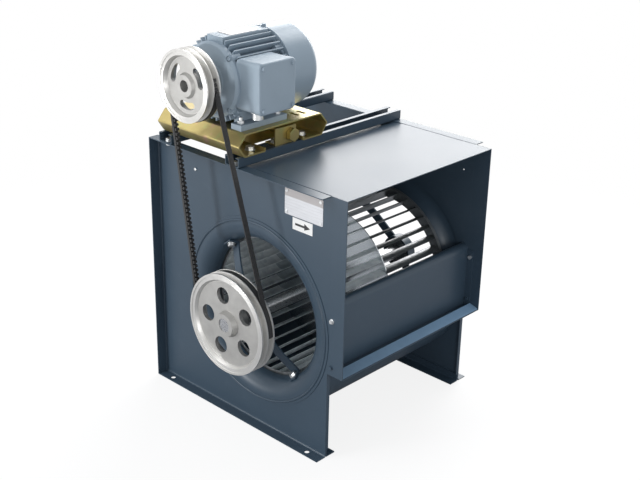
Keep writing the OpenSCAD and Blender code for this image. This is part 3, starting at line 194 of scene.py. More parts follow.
class Finish:
    """One material while its nodes are laid out."""

    def __init__(self, name):
        self.material = bpy.data.materials.new(name + LOOK)
        self.material.use_nodes = True
        self.tree = self.material.node_tree
        self.tree.nodes.clear()
        self.points = self.node("ShaderNodeTexCoord", output="Object")

    def node(self, kind, settings=None, values=None, output=0):
        """Adds a node of this kind: its settings first, then the values or links of its sockets."""
        made = self.tree.nodes.new(kind)
        for name, value in (settings or {}).items():
            if name == "stops":
                self.set_stops(made.color_ramp, value)
            else:
                setattr(made, name, value)
        for name, value in (values or {}).items():
            self.feed(made.inputs[name], value)
        return Link(self, made.outputs[output])

    def feed(self, socket, value):
        """Links a socket, or sets it to a plain value."""
        if isinstance(value, Link):
            self.tree.links.new(value.socket, socket)
        else:
            socket.default_value = value

    def set_stops(self, ramp, stops):
        """Gives a colour ramp its stops."""
        while len(ramp.elements) < len(stops):
            ramp.elements.new(1)
        for element, (position, colour) in zip(ramp.elements, stops):
            element.position = position
            element.color = colour

    def noise(self, size, detail=2, rough=0.5, points=None):
        """Noise whose blobs are about this size in metres."""
        return self.node(
            "ShaderNodeTexNoise", None,
            {"Vector": points or self.points, "Scale": 1 / size, "Detail": detail, "Roughness": rough})

    def between(self, value, low, high):
        """A value from 0 to 1 where it passes from low to high."""
        return self.node(
            "ShaderNodeMapRange", {"clamp": True},
            {"Value": value, "From Min": low, "From Max": high})

    def blend(self, share, first, second):
        """A colour between two colours."""
        return self.node(
            "ShaderNodeMix", {"data_type": "RGBA"},
            {0: share, 6: first, 7: second}, output=2)

    def stretched(self, centre, scale):
        """Points measured from a centre and stretched along the axes."""
        place = tuple(-c * s for c, s in zip(centre, scale))
        return self.node(
            "ShaderNodeMapping", None,
            {"Vector": self.points, "Location": place, "Scale": scale})

    def radius(self, centre):
        """Distance from a shaft along Y."""
        flat = self.stretched(centre, (1, 0, 1))
        return self.node("ShaderNodeVectorMath", {"operation": "LENGTH"}, {0: flat}, output="Value")

    def bump(self, height, depth):
        """Normals of a height from 0 to 1 that stands for this depth in metres."""
        return self.node("ShaderNodeBump", None, {"Height": height, "Distance": depth, "Strength": 1.0})

    def surface(self, colour, rough, metal=0.0, normal=None, coat=0.0, shine=0.5):
        """Ends the material in one Principled shader."""
        values = {
            "Base Color": colour, "Roughness": rough, "Metallic": metal,
            "Specular IOR Level": shine, "Coat Weight": coat, "Coat Roughness": 0.1}
        if normal:
            values["Normal"] = normal
        shader = self.node("ShaderNodeBsdfPrincipled", None, values)
        self.end(shader)
        return self.material

    def end(self, shader):
        """Links a shader to the material's output."""
        output = self.tree.nodes.new("ShaderNodeOutputMaterial")
        self.tree.links.new(shader.socket, output.inputs["Surface"])


def tone(colour, factor, lift=0.0):
    """A colour made lighter or darker, with full alpha."""
    return tuple(min(1, channel * factor + lift) for channel in colour[:3]) + (1,)


def housing_paint():
    """Dark slate powder coat with a fine texture and faint cloudiness."""
    finish = Finish("housing_paint")
    base = colours().housing
    cloud = finish.noise(0.16, 3)
    grain = finish.noise(0.0016, 2)
    dust = finish.between(finish.noise(0.03, 4, 0.6), 0.55, 0.8)
    colour = finish.blend(cloud, tone(base, 0.9), tone(base, 1.1))
    colour = finish.blend(dust * 0.14, colour, tone(base, 1.5, 0.02))
    rough = 0.3 + cloud * 0.08 + grain * 0.05
    return finish.surface(
        colour, rough, normal=finish.bump(grain, 0.00012), shine=0.4)


def pale_paint():
    """The housing's coat painted lighter on the outlet lip, more so towards the far side: a painted
    highlight for the light the lip catches.
    """
    finish = Finish("pale_paint")
    base = colours().housing
    across = finish.node("ShaderNodeSeparateXYZ", None, {0: finish.points}, output="Y")
    # Painted highlight: the coat lifted towards +Y, with a little noise
    share = finish.between(across, -0.26, 0.22) * 0.8 + finish.noise(0.02, 3) * 0.2
    grain = finish.noise(0.0016, 2)
    return finish.surface(
        finish.blend(share, tone(base, 2.2), tone(base, 6.5)), 0.4 + grain * 0.1,
        normal=finish.bump(grain, 0.0001), shine=0.4)


def motor_paint():
    """Blue-grey enamel over a sand casting."""
    finish = Finish("motor_paint")
    base = colours().motor
    cloud = finish.noise(0.05, 3)
    sand = finish.noise(0.0022, 3, 0.6)
    colour = finish.blend(cloud, tone(base, 0.92), tone(base, 1.08))
    rough = 0.34 + sand * 0.14
    return finish.surface(
        colour, rough, normal=finish.bump(sand, 0.0003), shine=0.35)


def cowl_paint():
    """The motor's enamel on smooth pressed sheet."""
    finish = Finish("cowl_paint")
    base = colours().motor
    cloud = finish.noise(0.07, 2)
    grain = finish.noise(0.0016, 2)
    colour = finish.blend(cloud, tone(base, 0.96), tone(base, 1.06))
    return finish.surface(
        colour, 0.28 + cloud * 0.08, normal=finish.bump(grain, 0.0001), shine=0.3)


def yellow_zinc():
    """Yellow-passivated zinc, with its green and pink drift."""
    finish = Finish("yellow_zinc")
    base = colours().passivated
    drift = finish.noise(0.035, 3, 0.55)
    stain = finish.noise(0.008, 3, 0.6)
    gold, green, pink = tone(base, 1.0), (0.40, 0.44, 0.17, 1), (0.55, 0.34, 0.24, 1)
    colour = finish.node(
        "ShaderNodeValToRGB", {"stops": [(0.32, green), (0.46, gold), (0.6, gold), (0.72, pink)]},
        {"Fac": drift})
    colour = finish.blend(stain * 0.3, colour, tone(base, 0.55))
    return finish.surface(
        colour, 0.24 + stain * 0.2, 0.85, finish.bump(finish.noise(0.0015, 2), 0.0001))


def bright_zinc():
    """Bright zinc plate on bolts and washers."""
    finish = Finish("bright_zinc")
    base = colours().zinc
    blotch = finish.noise(0.006, 3)
    colour = finish.blend(blotch, tone(base, 0.95), tone(base, 1.25))
    return finish.surface(
        colour, 0.22 + blotch * 0.16, 0.8, finish.bump(finish.noise(0.0008, 2), 0.00006))


def galvanised(name, share, rough):
    """Galvanised sheet with its frost-like crystals, its colour scaled by a factor: raised for a painted
    highlight, lowered for painted shade.
    """
    finish = Finish(name)
    base = tone(colours().galvanised, share)
    crystal = finish.node(
        "ShaderNodeTexVoronoi", {"feature": "F1"},
        {"Vector": finish.points, "Scale": 110.0, "Randomness": 1.0}, output="Color")
    value = finish.node("ShaderNodeSeparateColor", None, {"Color": crystal})
    streak = finish.noise(0.02, 3)
    colour = finish.blend(value * 0.6 + streak * 0.4, tone(base, 0.8), tone(base, 1.08))
    return finish.surface(colour, rough + value * 0.14, 0.6)


def wheel_disc():
    """Bright sheet of the wheel's centre disc, nearly a mirror."""
    finish = Finish("wheel_disc")
    base = colours().galvanised
    streak = finish.noise(0.05, 3)
    colour = finish.blend(streak, tone(base, 0.88), tone(base, 1.08))
    return finish.surface(colour, 0.09 + streak * 0.08, 0.95)


def turned_cast(name, centre, rim_r):
    """Cast metal, dull and darker between the hub and the rim and turned bright on the rim; the darker web
    is partly the casting's own tone and partly painted shade in the recess.
    """
    finish = Finish(name)
    base = colours().cast
    away = finish.radius(centre)
    rings = finish.node("ShaderNodeMath", {"operation": "SINE"}, {0: away * 5200.0})
    grain = finish.noise(0.003, 3, 0.6)
    blotch = finish.noise(0.02, 3)
    turned = finish.between(away, rim_r - 2 * MM, rim_r + 2 * MM)
    # Darker inside the rim: the cast web's duller tone together with painted shade of the recess
    colour = finish.blend(
        turned, finish.blend(blotch, tone(base, 0.5), tone(base, 0.72)),
        finish.blend(blotch, tone(base, 0.9), tone(base, 1.1)))
    height = rings * turned * 0.3 + grain * (1.6 - turned)
    return finish.surface(
        colour, 0.42 - turned * 0.16 + grain * 0.14, 0.75, finish.bump(height, 0.00018))


def bare_steel():
    """Ground steel of shafts, keys and bearings."""
    finish = Finish("bare_steel")
    grind = finish.noise(0.004, 2, points=finish.stretched((0, 0, 0), (1, 9, 1)))
    colour = finish.blend(grind, (0.36, 0.37, 0.38, 1), (0.55, 0.56, 0.58, 1))
    return finish.surface(colour, 0.2 + grind * 0.15, 0.9, finish.bump(grind, 0.00004))


def core_steel():
    """Stacked electrical sheet, seen from outside as fine rings."""
    finish = Finish("core_steel")
    leaf = finish.noise(0.002, 1, points=finish.stretched((0, 0, 0), (0.02, 4, 0.02)))
    colour = finish.blend(leaf, (0.12, 0.12, 0.13, 1), (0.3, 0.3, 0.31, 1))
    return finish.surface(colour, 0.42, 0.7, finish.bump(leaf, 0.0002))


def copper():
    """Varnished copper winding."""
    finish = Finish("copper")
    wire = finish.noise(0.003, 3, 0.6)
    colour = finish.blend(wire, (0.22, 0.07, 0.02, 1), (0.5, 0.2, 0.07, 1))
    return finish.surface(colour, 0.35, 0.5, finish.bump(wire, 0.0006), coat=0.4)


def rubber():
    """Black rubber, dusty where it has run."""
    finish = Finish("black_rubber")
    base = colours().rubber
    dust = finish.noise(0.012, 4, 0.65)
    grain = finish.noise(0.0012, 2)
    colour = finish.blend(dust, tone(base, 0.7), tone(base, 1.9))
    return finish.surface(colour, 0.5 + dust * 0.2, 0, finish.bump(grain, 0.00025))


def plastic(name, dark, light, rough):
    """Moulded plastic with a fine spark-eroded texture."""
    finish = Finish(name)
    cloud = finish.noise(0.02, 2)
    grain = finish.noise(0.0011, 2)
    return finish.surface(
        finish.blend(cloud, dark, light), rough + grain * 0.1, 0, finish.bump(grain, 0.00012))


def plate_metal():
    """Thin brushed aluminium of the plates, with a dark band and ruled lines by height."""
    finish = Finish("plate_metal")
    brush = finish.noise(0.0012, 2, points=finish.stretched((0, 0, 0), (0.06, 1, 1)))
    colour = finish.blend(brush, (0.5, 0.51, 0.54, 1), (0.66, 0.67, 0.69, 1))
    place = finish.node("ShaderNodeSeparateXYZ", None, {0: finish.points}, output="Z")
    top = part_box("data_plate")[1].z
    band_low, band_full, line_pitch, line_half, line_full = 17 * MM, 16 * MM, 3.2 * MM, 0.25 * MM, 0.1 * MM
    band = finish.between(place, top - band_low, top - band_full)
    line = finish.node("ShaderNodeMath", {"operation": "PINGPONG"}, {0: place, 1: line_pitch})
    ruled = finish.between(line, line_half, line_full) * (1 - band)
    colour = finish.blend(band * 0.55 + ruled * 0.35, colour, (0.2, 0.16, 0.14, 1))
    return finish.surface(colour, 0.3 + brush * 0.15, 0.5, finish.bump(brush, 0.00004))


def enamel(name, low, high):
    """Printed enamel, white or black."""
    finish = Finish(name)
    wear = finish.noise(0.006, 3)
    return finish.surface(
        finish.blend(wear, low, high), 0.3 + wear * 0.1, 0, finish.bump(wear, 0.00002), coat=0.2)


FINISHES = {
    "housing_paint": housing_paint,
    "pale_paint": pale_paint,
    "motor_paint": motor_paint,
    "cowl_paint": cowl_paint,
    "yellow_zinc": yellow_zinc,
    "bright_zinc": bright_zinc,
    # Near blades: sheet lifted brighter as a painted highlight; far blades and end rings: sheet darkened
    # as painted shade
    "galvanised": lambda: galvanised("galvanised", 1.6, 0.38),
    "dull_zinc": lambda: galvanised("dull_zinc", 0.35, 0.3),
    "wheel_disc": wheel_disc,
    "fan_cast": lambda: turned_cast("fan_cast", FAN_AXIS, FAN_RIM_IN),
    "motor_cast": lambda: turned_cast("motor_cast", MOTOR_AXIS, MOTOR_RIM_IN),
    "bare_steel": bare_steel,
    "core_steel": core_steel,
    "copper": copper,
    "black_rubber": rubber,
    "black_plastic": lambda: plastic(
        "black_plastic", (0.012, 0.013, 0.014, 1), (0.03, 0.031, 0.033, 1), 0.35),
    "brown_plastic": lambda: plastic(
        "brown_plastic", (0.045, 0.022, 0.012, 1), (0.08, 0.04, 0.022, 1), 0.3),
    "plate_metal": plate_metal,
    "white_plate": lambda: enamel("white_plate", (0.72, 0.72, 0.7, 1), (0.82, 0.82, 0.81, 1)),
    "black_print": lambda: enamel("black_print", (0.008, 0.008, 0.008, 1), (0.02, 0.02, 0.02, 1)),
}


def finish_of(name):
    """The material of a finish, made when it is first asked for."""
    return bpy.data.materials.get(name + LOOK) or FINISHES[name]()


def only(piece):
    """Leaves just this object selected and active."""
    if bpy.context.object and bpy.context.object.mode != "OBJECT":
        bpy.ops.object.mode_set(mode="OBJECT")
    bpy.ops.object.select_all(action="DESELECT")
    piece.select_set(True)
    bpy.context.view_layer.objects.active = piece


def paint(piece, finish):
    """Gives every face of an object one finish."""
    piece.data.materials.clear()
    piece.data.materials.append(finish_of(finish))


def dress(finish, *nodes):
    """Gives construction nodes a finish, as they are."""
    for node in nodes:
        paint(frame["nodes"][node], finish)


def bevel(piece, width, steps=2, angle=35):
    """Rounds the sharp edges of a piece and shades it smooth between its flat faces."""
    only(piece)
    rounding = piece.modifiers.new("rounding", "BEVEL")
    rounding.width = width
    rounding.segments = steps
    rounding.limit_method = "ANGLE"
    rounding.angle_limit = math.radians(angle)
    rounding.use_clamp_overlap = True
    bpy.ops.object.modifier_apply(modifier=rounding.name)
    bpy.ops.object.shade_smooth_by_angle(angle=math.radians(angle))
    flats = piece.modifiers.new("flats", "WEIGHTED_NORMAL")
    flats.weight = 80
    flats.keep_sharp = True
    bpy.ops.object.modifier_apply(modifier=flats.name)


def begin(name, place):
    """Starts a mesh with one vertex at a place, in edit mode."""
    only(frame["nodes"]["foot_angles"])
    bpy.ops.mesh.primitive_plane_add(size=MM, location=(0, 0, 0))
    piece = bpy.context.object
    piece.name = name
    bpy.ops.object.mode_set(mode="EDIT")
    bpy.ops.mesh.merge(type="CENTER")
    bpy.ops.transform.translate(value=place)
    return piece


def draw(points):
    """Draws an outline on from the selected vertex, through the points in turn."""
    here = Vector(points[0])
    for point in points[1:]:
        bpy.ops.mesh.extrude_region_move(TRANSFORM_OT_translate={"value": Vector(point) - here})
        here = Vector(point)


def weld(gap=DRAWN_SEAM):
    """Selects the mesh in edit mode and merges its seams."""
    bpy.ops.mesh.select_all(action="SELECT")
    bpy.ops.mesh.remove_doubles(threshold=gap)


def close_up():
    """Welds the mesh in edit mode, points its faces outwards and leaves it."""
    weld()
    bpy.ops.mesh.normals_make_consistent(inside=False)
    bpy.ops.object.mode_set(mode="OBJECT")


def lathe(name, profile, axis):
    """Turns a closed profile of (radius, y) points about a shaft along Y."""
    points = [(axis[0] + r, y, axis[2]) for r, y in profile]
    piece = begin(name, points[0])
    draw(points + points[:1])
    weld()
    bpy.ops.mesh.spin(
        steps=sizes().round_steps, angle=2 * math.pi, center=(axis[0], 0, axis[2]), axis=AXIS_Y)
    close_up()
    return piece


def prism(name, outline, depth):
    """Fills an outline and draws it out by a vector."""
    piece = begin(name, outline[0])
    draw(outline + outline[:1])
    weld()
    bpy.ops.mesh.edge_face_add()
    bpy.ops.mesh.extrude_region_move(TRANSFORM_OT_translate={"value": depth})
    close_up()
    return piece


def block(name, low, high):
    """A box between two corners."""
    only(frame["nodes"]["foot_angles"])
    low, high = Vector(low), Vector(high)
    bpy.ops.mesh.primitive_cube_add(size=1, location=(low + high) / 2, scale=high - low)
    piece = bpy.context.object
    piece.name = name
    bpy.ops.object.transform_apply(location=True, rotation=True, scale=True)
    return piece


def round_edges(piece, radius, steps, chosen):
    """Rounds the edges of a mesh that a test of their ends chooses."""
    only(piece)
    bpy.ops.object.mode_set(mode="EDIT")
    bpy.ops.mesh.select_mode(type="EDGE")
    bpy.ops.mesh.select_all(action="DESELECT")
    bpy.ops.object.mode_set(mode="OBJECT")
    points = [v.co for v in piece.data.vertices]
    for edge in piece.data.edges:
        edge.select = chosen(edge, *(points[i] for i in edge.vertices))
    bpy.ops.object.mode_set(mode="EDIT")
    bpy.ops.mesh.bevel(offset=radius, segments=steps, affect="EDGES")
    bpy.ops.mesh.select_mode(type="VERT")
    bpy.ops.object.mode_set(mode="OBJECT")


def round_folds(piece, radius):
    """Rounds the folds of bent sheet: long straight edges between two wide faces."""
    steps, shortest, narrowest, least = 4, 60 * MM, 3 * radius, math.radians(18)
    beside = {}
    for face in piece.data.polygons:
        for key in face.edge_keys:
            beside.setdefault(key, []).append((face.normal.copy(), face.area))

    def folded(edge, a, b):
        faces, length = beside.get(edge.key, ()), (b - a).length
        return (
            len(faces) == 2 and length > shortest
            and faces[0][0].angle(faces[1][0]) > least
            and all(area > narrowest * length for _, area in faces))
    round_edges(piece, radius, steps, folded)


def cut(piece, *tools):
    """Cuts tools out of a piece and deletes them."""
    for tool in tools:
        only(piece)
        cutting = piece.modifiers.new("cutting", "BOOLEAN")
        cutting.operation = "DIFFERENCE"
        cutting.solver = "EXACT"
        cutting.object = tool
        bpy.ops.object.modifier_apply(modifier=cutting.name)
        only(tool)
        bpy.ops.object.delete()


def join(name, pieces):
    """Joins pieces into one object."""
    only(pieces[0])
    for piece in pieces[1:]:
        piece.select_set(True)
    if len(pieces) > 1:
        bpy.ops.object.join()
    pieces[0].name = name
    return pieces[0]


def fit(piece, finish, body, *nodes):
    """Settles a finished piece on its body, in place of its construction nodes."""
    only(piece)
    bpy.ops.object.transform_apply(location=True, rotation=True, scale=True)
    paint(piece, finish)
    if body:
        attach(piece, body)
    if nodes:
        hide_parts(*nodes)
    return piece


def around(axis, radius, angle, y=0.0):
    """A place about a shaft along Y, its angle counted from +X towards +Z."""
    turn = math.radians(angle)
    return Vector((axis[0] + radius * math.cos(turn), y, axis[2] + radius * math.sin(turn)))


def rod(name, place, radius, y0, y1):
    """A round rod along Y."""
    only(frame["nodes"]["foot_angles"])
    bpy.ops.mesh.primitive_cylinder_add(
        vertices=48, radius=radius, depth=y1 - y0, location=(place[0], (y0 + y1) / 2, place[2]),
        rotation=(math.pi / 2, 0, 0))
    piece = bpy.context.object
    piece.name = name
    bpy.ops.object.transform_apply(location=True, rotation=True, scale=True)
    return piece


def paint_where(piece, finish, chosen):
    """Gives the faces whose middle a test chooses another finish."""
    piece.data.materials.append(finish_of(finish))
    for face in piece.data.polygons:
        if chosen(face.center):
            face.material_index = len(piece.data.materials) - 1


def soften(finish, width, *nodes, fold=0.0, extra=None):
    """Stands a copy of each node in for it, with its folds and edges rounded and an extra piece joined."""
    made = []
    for node in nodes:
        source = frame["nodes"][node]
        body = source["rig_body"]
        only(source)
        bpy.ops.object.duplicate()
        piece = bpy.context.object
        piece.name = node + "_shell"
        bpy.ops.object.parent_clear(type="CLEAR_KEEP_TRANSFORM")
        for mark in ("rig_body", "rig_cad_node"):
            del piece[mark]
        bpy.ops.mesh.customdata_custom_splitnormals_clear()
        bpy.ops.object.mode_set(mode="EDIT")
        weld(MESH_SEAM)
        bpy.ops.mesh.dissolve_limited(angle_limit=math.radians(0.5))
        bpy.ops.object.mode_set(mode="OBJECT")
        if fold:
            round_folds(piece, fold)
        if extra:
            piece = join(piece.name, [piece, extra])
        bevel(piece, width)
        paint(piece, finish)
        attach(piece, body)
        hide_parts(node)
        made.append(piece)
    return made


class BLOWER_OT_housing(bpy.types.Operator):
    """Side plates, scroll, cut-off plate, outlet collar and foot angles"""
    bl_idname = "blower.housing"
    bl_label = "Housing"

    LIP_RISE, LIP_T, LIP_INSET, COLLAR_T = 8 * MM, 1.2 * MM, 1 * MM, 2.4 * MM

    def execute(self, context):
        soften(
            "housing_paint", SHEET_EDGE, "side_plate_near", "side_plate_far", "outlet_collar",
            "cutoff_plate", "foot_angles", "rail_front", "rail_rear", fold=sizes().fold_r)
        soften("housing_paint", SHEET_EDGE, "scroll_wrap")
        self.lip()
        return {"FINISHED"}

    def lip(self):
        """Sloping strip at the foot of the outlet, from the cut-off plate down to the front edge."""
        low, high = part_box("outlet_collar")
        back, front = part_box("cutoff_plate")[1].x + self.LIP_INSET, high.x - self.LIP_INSET
        near, floor = low.y + self.COLLAR_T, low.z + self.COLLAR_T
        outline = [
            (back, near, floor), (front, near, floor), (front, near, floor + self.LIP_T),
            (back, near, floor + self.LIP_RISE)]
        strip = prism("outlet_lip", outline, (0, high.y - low.y - 2 * self.COLLAR_T, 0))
        bevel(strip, THIN_EDGE)
        # The strip takes the housing coat with a painted highlight
        fit(strip, "pale_paint", "housing")


class BLOWER_OT_inlets(bpy.types.Operator):
    """Inlet cones and bearing brackets"""
    bl_idname = "blower.inlets"
    bl_label = "Inlets and bearings"

    def execute(self, context):
        soften("housing_paint", CONE_EDGE, "inlet_cone_near", "inlet_cone_far")
        soften("housing_paint", sizes().cast_r, "bearing_bracket_near", "bearing_bracket_far")
        dress("black_rubber", "bearing_cushions")
        dress(
            "bare_steel", "bearing_outer_near", "bearing_outer_far", "bearing_inner_near",
            "bearing_inner_far", "bearing_balls")
        return {"FINISHED"}


class BLOWER_OT_wheel(bpy.types.Operator):
    """Blade wheel with its hub and shaft"""
    bl_idname = "blower.wheel"
    bl_label = "Blade wheel"

    def execute(self, context):
        # Near blades carry a painted highlight; far blades and end rings carry painted shade
        dress("galvanised", "blades_near")
        dress("dull_zinc", "blades_far")
        soften("dull_zinc", THIN_EDGE, "end_ring_near", "end_ring_far")
        dress("wheel_disc", "centre_disc")
        dress("bare_steel", "wheel_hub", "fan_shaft", "fan_pulley_key", "fan_grub_screws")
        return {"FINISHED"}


# Grooves and belt section, as the construction model has them
FACE_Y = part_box("motor_pulley")[0][1]
PULLEY_W = 35 * MM
GROOVES = (10 * MM, 25 * MM)
GROOVE_TOP, GROOVE_LOW = 6.7 * MM, 2.4 * MM
GROOVE_ADD, GROOVE_D = 3.5 * MM, 12.5 * MM
BELT_Y = FACE_Y + GROOVES[1]
FAN_PITCH_R, MOTOR_PITCH_R = 106 * MM, 70 * MM
BELT_TOP, BELT_LOW = 2.45 * MM, -5.2 * MM
BELT_TOP_HALF, BELT_LOW_HALF = 6.1 * MM, 3.4 * MM
FAN_RIM_IN, MOTOR_RIM_IN = 92.5 * MM, 57 * MM


def pulley_profile(pitch_r, rim_in, web, bore_r, hub_r, hub):
    """Section of a pulley in radius and y: rim with two grooves, web and hub."""
    top, low = pitch_r + GROOVE_ADD, pitch_r + GROOVE_ADD - GROOVE_D
    draft = 4 * MM
    lip, lip_in = 1.2 * MM, 5 * MM
    profile = [(rim_in + draft, lip), (top - lip_in, lip), (top - lip_in, 0), (top, 0)]
    for y in GROOVES:
        profile += [
            (top, y - GROOVE_TOP), (low, y - GROOVE_LOW), (low, y + GROOVE_LOW), (top, y + GROOVE_TOP)]
    profile += [
        (top, PULLEY_W), (rim_in + draft, PULLEY_W), (rim_in, web[1]), (hub_r, web[1]),
        (hub_r - draft, hub[1]), (bore_r, hub[1]), (bore_r, hub[0]), (hub_r - draft, hub[0]),
        (hub_r, web[0]), (rim_in, web[0])]
    return [(r, FACE_Y + y) for r, y in profile]


class BLOWER_OT_pulleys(bpy.types.Operator):
    """Fan pulley with its round holes and motor pulley with its curved slots"""
    bl_idname = "blower.pulleys"
    bl_label = "Pulleys"

    FAN_WEB, FAN_BORE, FAN_HUB_R, FAN_HUB = (8 * MM, 16 * MM), 15 * MM, 29 * MM, (-4 * MM, 44 * MM)
    MOTOR_WEB, MOTOR_BORE, MOTOR_HUB_R, MOTOR_HUB = (11 * MM, 19 * MM), 12 * MM, 26 * MM, (4 * MM, 58 * MM)
    HOLES, FIRST_HOLE, HOLE_R = 5, 32, 18 * MM
    SLOTS, FIRST_SLOT, SLOT_TURN, SLOT_W = 3, 30, 40, 15 * MM
    CUT_START, SLOT_CUT = 5 * MM, 25 * MM
    FAN_EDGE, MOTOR_EDGE, EDGE_STEPS, EDGE_ANGLE = 1.3 * MM, 1.2 * MM, 3, 28

    def execute(self, context):
        fan = lathe("fan_pulley_cast", pulley_profile(
            FAN_PITCH_R, FAN_RIM_IN, self.FAN_WEB, self.FAN_BORE, self.FAN_HUB_R, self.FAN_HUB), FAN_AXIS)
        ring_r = (self.FAN_HUB_R + FAN_RIM_IN) / 2
        for i in range(self.HOLES):
            place = around(FAN_AXIS, ring_r, self.FIRST_HOLE + i * 360 / self.HOLES)
            cut(fan, rod("hole", place, self.HOLE_R, FACE_Y - self.CUT_START, FACE_Y + PULLEY_W))
        bevel(fan, self.FAN_EDGE, self.EDGE_STEPS, self.EDGE_ANGLE)
        fit(fan, "fan_cast", "fan_rotor", "fan_pulley")
        motor = lathe("motor_pulley_cast", pulley_profile(
            MOTOR_PITCH_R, MOTOR_RIM_IN, self.MOTOR_WEB, self.MOTOR_BORE, self.MOTOR_HUB_R,
            self.MOTOR_HUB), MOTOR_AXIS)
        for i in range(self.SLOTS):
            cut(motor, self.slot(self.FIRST_SLOT + i * 360 / self.SLOTS))
        bevel(motor, self.MOTOR_EDGE, self.EDGE_STEPS, self.EDGE_ANGLE)
        fit(motor, "motor_cast", "motor_rotor", "motor_pulley")
        return {"FINISHED"}

    def slot(self, middle_angle):
        """Cutter of a curved slot: two arcs about the shaft, with round ends."""
        ring_r = (self.MOTOR_HUB_R + MOTOR_RIM_IN) / 2
        half, steps = self.SLOT_W / 2, 8
        y = FACE_Y + self.CUT_START
        outline = []
        for side in (1, -1):
            start = middle_angle - side * self.SLOT_TURN / 2
            for i in range(steps + 1):
                angle = start + side * self.SLOT_TURN * i / steps
                outline.append(around(MOTOR_AXIS, ring_r + side * half, angle, y))
            end = middle_angle + side * self.SLOT_TURN / 2
            centre = around(MOTOR_AXIS, ring_r, end, y)
            for i in range(1, steps):
                turn = end + (0 if side > 0 else 180) + 180 * i / steps
                outline.append(around(centre, half, turn, y))
        return prism("slot", outline, (0, self.SLOT_CUT, 0))


class BLOWER_OT_belt(bpy.types.Operator):
    """Cogged drive belt round both pulleys"""
    bl_idname = "blower.belt"
    bl_label = "Drive belt"

    BAND_LOW, BAND_STEP = -1.2 * MM, 4
    COG_ROOT, COG_TIP, COG_SUNK = 6.4 * MM, 4.6 * MM, 0.2 * MM
    BACK_Y = (0, -1, 0)

    def execute(self, context):
        run = Vector((MOTOR_AXIS[0] - FAN_AXIS[0], 0, MOTOR_AXIS[2] - FAN_AXIS[2]))
        lean = math.degrees(math.atan2(run.z, run.x))
        tilt = math.degrees(math.asin((FAN_PITCH_R - MOTOR_PITCH_R) / run.length))
        legs = (
            (FAN_AXIS, FAN_PITCH_R, lean + 90 - tilt, 180 + 2 * tilt),
            (MOTOR_AXIS, MOTOR_PITCH_R, lean - 90 + tilt, 180 - 2 * tilt))
        straight = run.length * math.cos(math.radians(tilt))
        band = self.band(legs)
        cogs = self.cogs(legs, straight)
        belt = join("cogged_belt", [band] + cogs)
        fit(belt, "black_rubber", None, "drive_belt")
        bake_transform(belt)
        return {"FINISHED"}

    def half_at(self, height):
        """Half the belt's width at a height over its pitch line."""
        share = (height - BELT_LOW) / (BELT_TOP - BELT_LOW)
        return BELT_LOW_HALF + share * (BELT_TOP_HALF - BELT_LOW_HALF)

    def band(self, legs):
        """Outer band of the belt, turned round each pulley and drawn straight between them."""
        low = self.half_at(self.BAND_LOW)
        corners = (
            (self.BAND_LOW, -low), (BELT_TOP, -BELT_TOP_HALF), (BELT_TOP, BELT_TOP_HALF),
            (self.BAND_LOW, low))
        axis, pitch_r, start, turn = legs[0]
        outline = [around(axis, pitch_r + h, start, BELT_Y + w) for h, w in corners]
        piece = begin("belt_band", outline[0])
        draw(outline + outline[:1])
        weld()
        for i, (axis, pitch_r, start, turn) in enumerate(legs):
            bpy.ops.mesh.spin(
                steps=round(turn / self.BAND_STEP), angle=math.radians(turn),
                center=(axis[0], 0, axis[2]), axis=self.BACK_Y, use_auto_merge=False)
            after, after_r, after_start, _ = legs[1 - i]
            here = around(axis, pitch_r, start + turn)
            there = around(after, after_r, after_start)
            bpy.ops.mesh.extrude_region_move(TRANSFORM_OT_translate={"value": there - here})
        close_up()
        return piece

    def cog(self, axis, pitch_r, angle):
        """One cog under the band, at an angle about a pulley."""
        out = around((0, 0, 0), 1, angle)
        along = around((0, 0, 0), 1, angle + 90)
        root, tip = self.BAND_LOW + self.COG_SUNK, BELT_LOW
        centre = around(axis, pitch_r, angle, BELT_Y)
        corners = []
        for side in (-1, 1):
            for height, length in ((root, self.COG_ROOT), (tip, self.COG_TIP)):
                corners.append(centre + out * height + along * side * length / 2)
        outline = [corners[0], corners[1], corners[3], corners[2]]
        half = self.half_at((root + tip) / 2)
        outline = [point + Vector((0, -half, 0)) for point in outline]
        return prism("belt_cog", outline, (0, 2 * half, 0))

    def cogs(self, legs, straight):
        """Rows of cogs: one cog each, copied along its run."""
        rows = []
        pitch = sizes().cog_pitch
        for i, (axis, pitch_r, start, turn) in enumerate(legs):
            count = round(math.radians(turn) * pitch_r / pitch)
            row = self.cog(axis, pitch_r, start)
            bpy.ops.object.mode_set(mode="EDIT")
            bpy.ops.mesh.select_all(action="SELECT")
            bpy.ops.mesh.spin(
                steps=count, dupli=True, angle=math.radians(turn), center=(axis[0], 0, axis[2]),
                axis=self.BACK_Y)
            bpy.ops.object.mode_set(mode="OBJECT")
            rows.append(row)
            after, after_r, after_start, _ = legs[1 - i]
            step = around(after, after_r, after_start) - around(axis, pitch_r, start + turn)
            count = round(straight / pitch)
            row = self.cog(axis, pitch_r, start + turn)
            bpy.ops.object.mode_set(mode="EDIT")
            bpy.ops.mesh.select_all(action="SELECT")
            bpy.ops.transform.translate(value=step / count)
            for _ in range(count - 2):
                bpy.ops.mesh.duplicate_move(TRANSFORM_OT_translate={"value": step / count})
            bpy.ops.object.mode_set(mode="OBJECT")
            rows.append(row)
        return rows


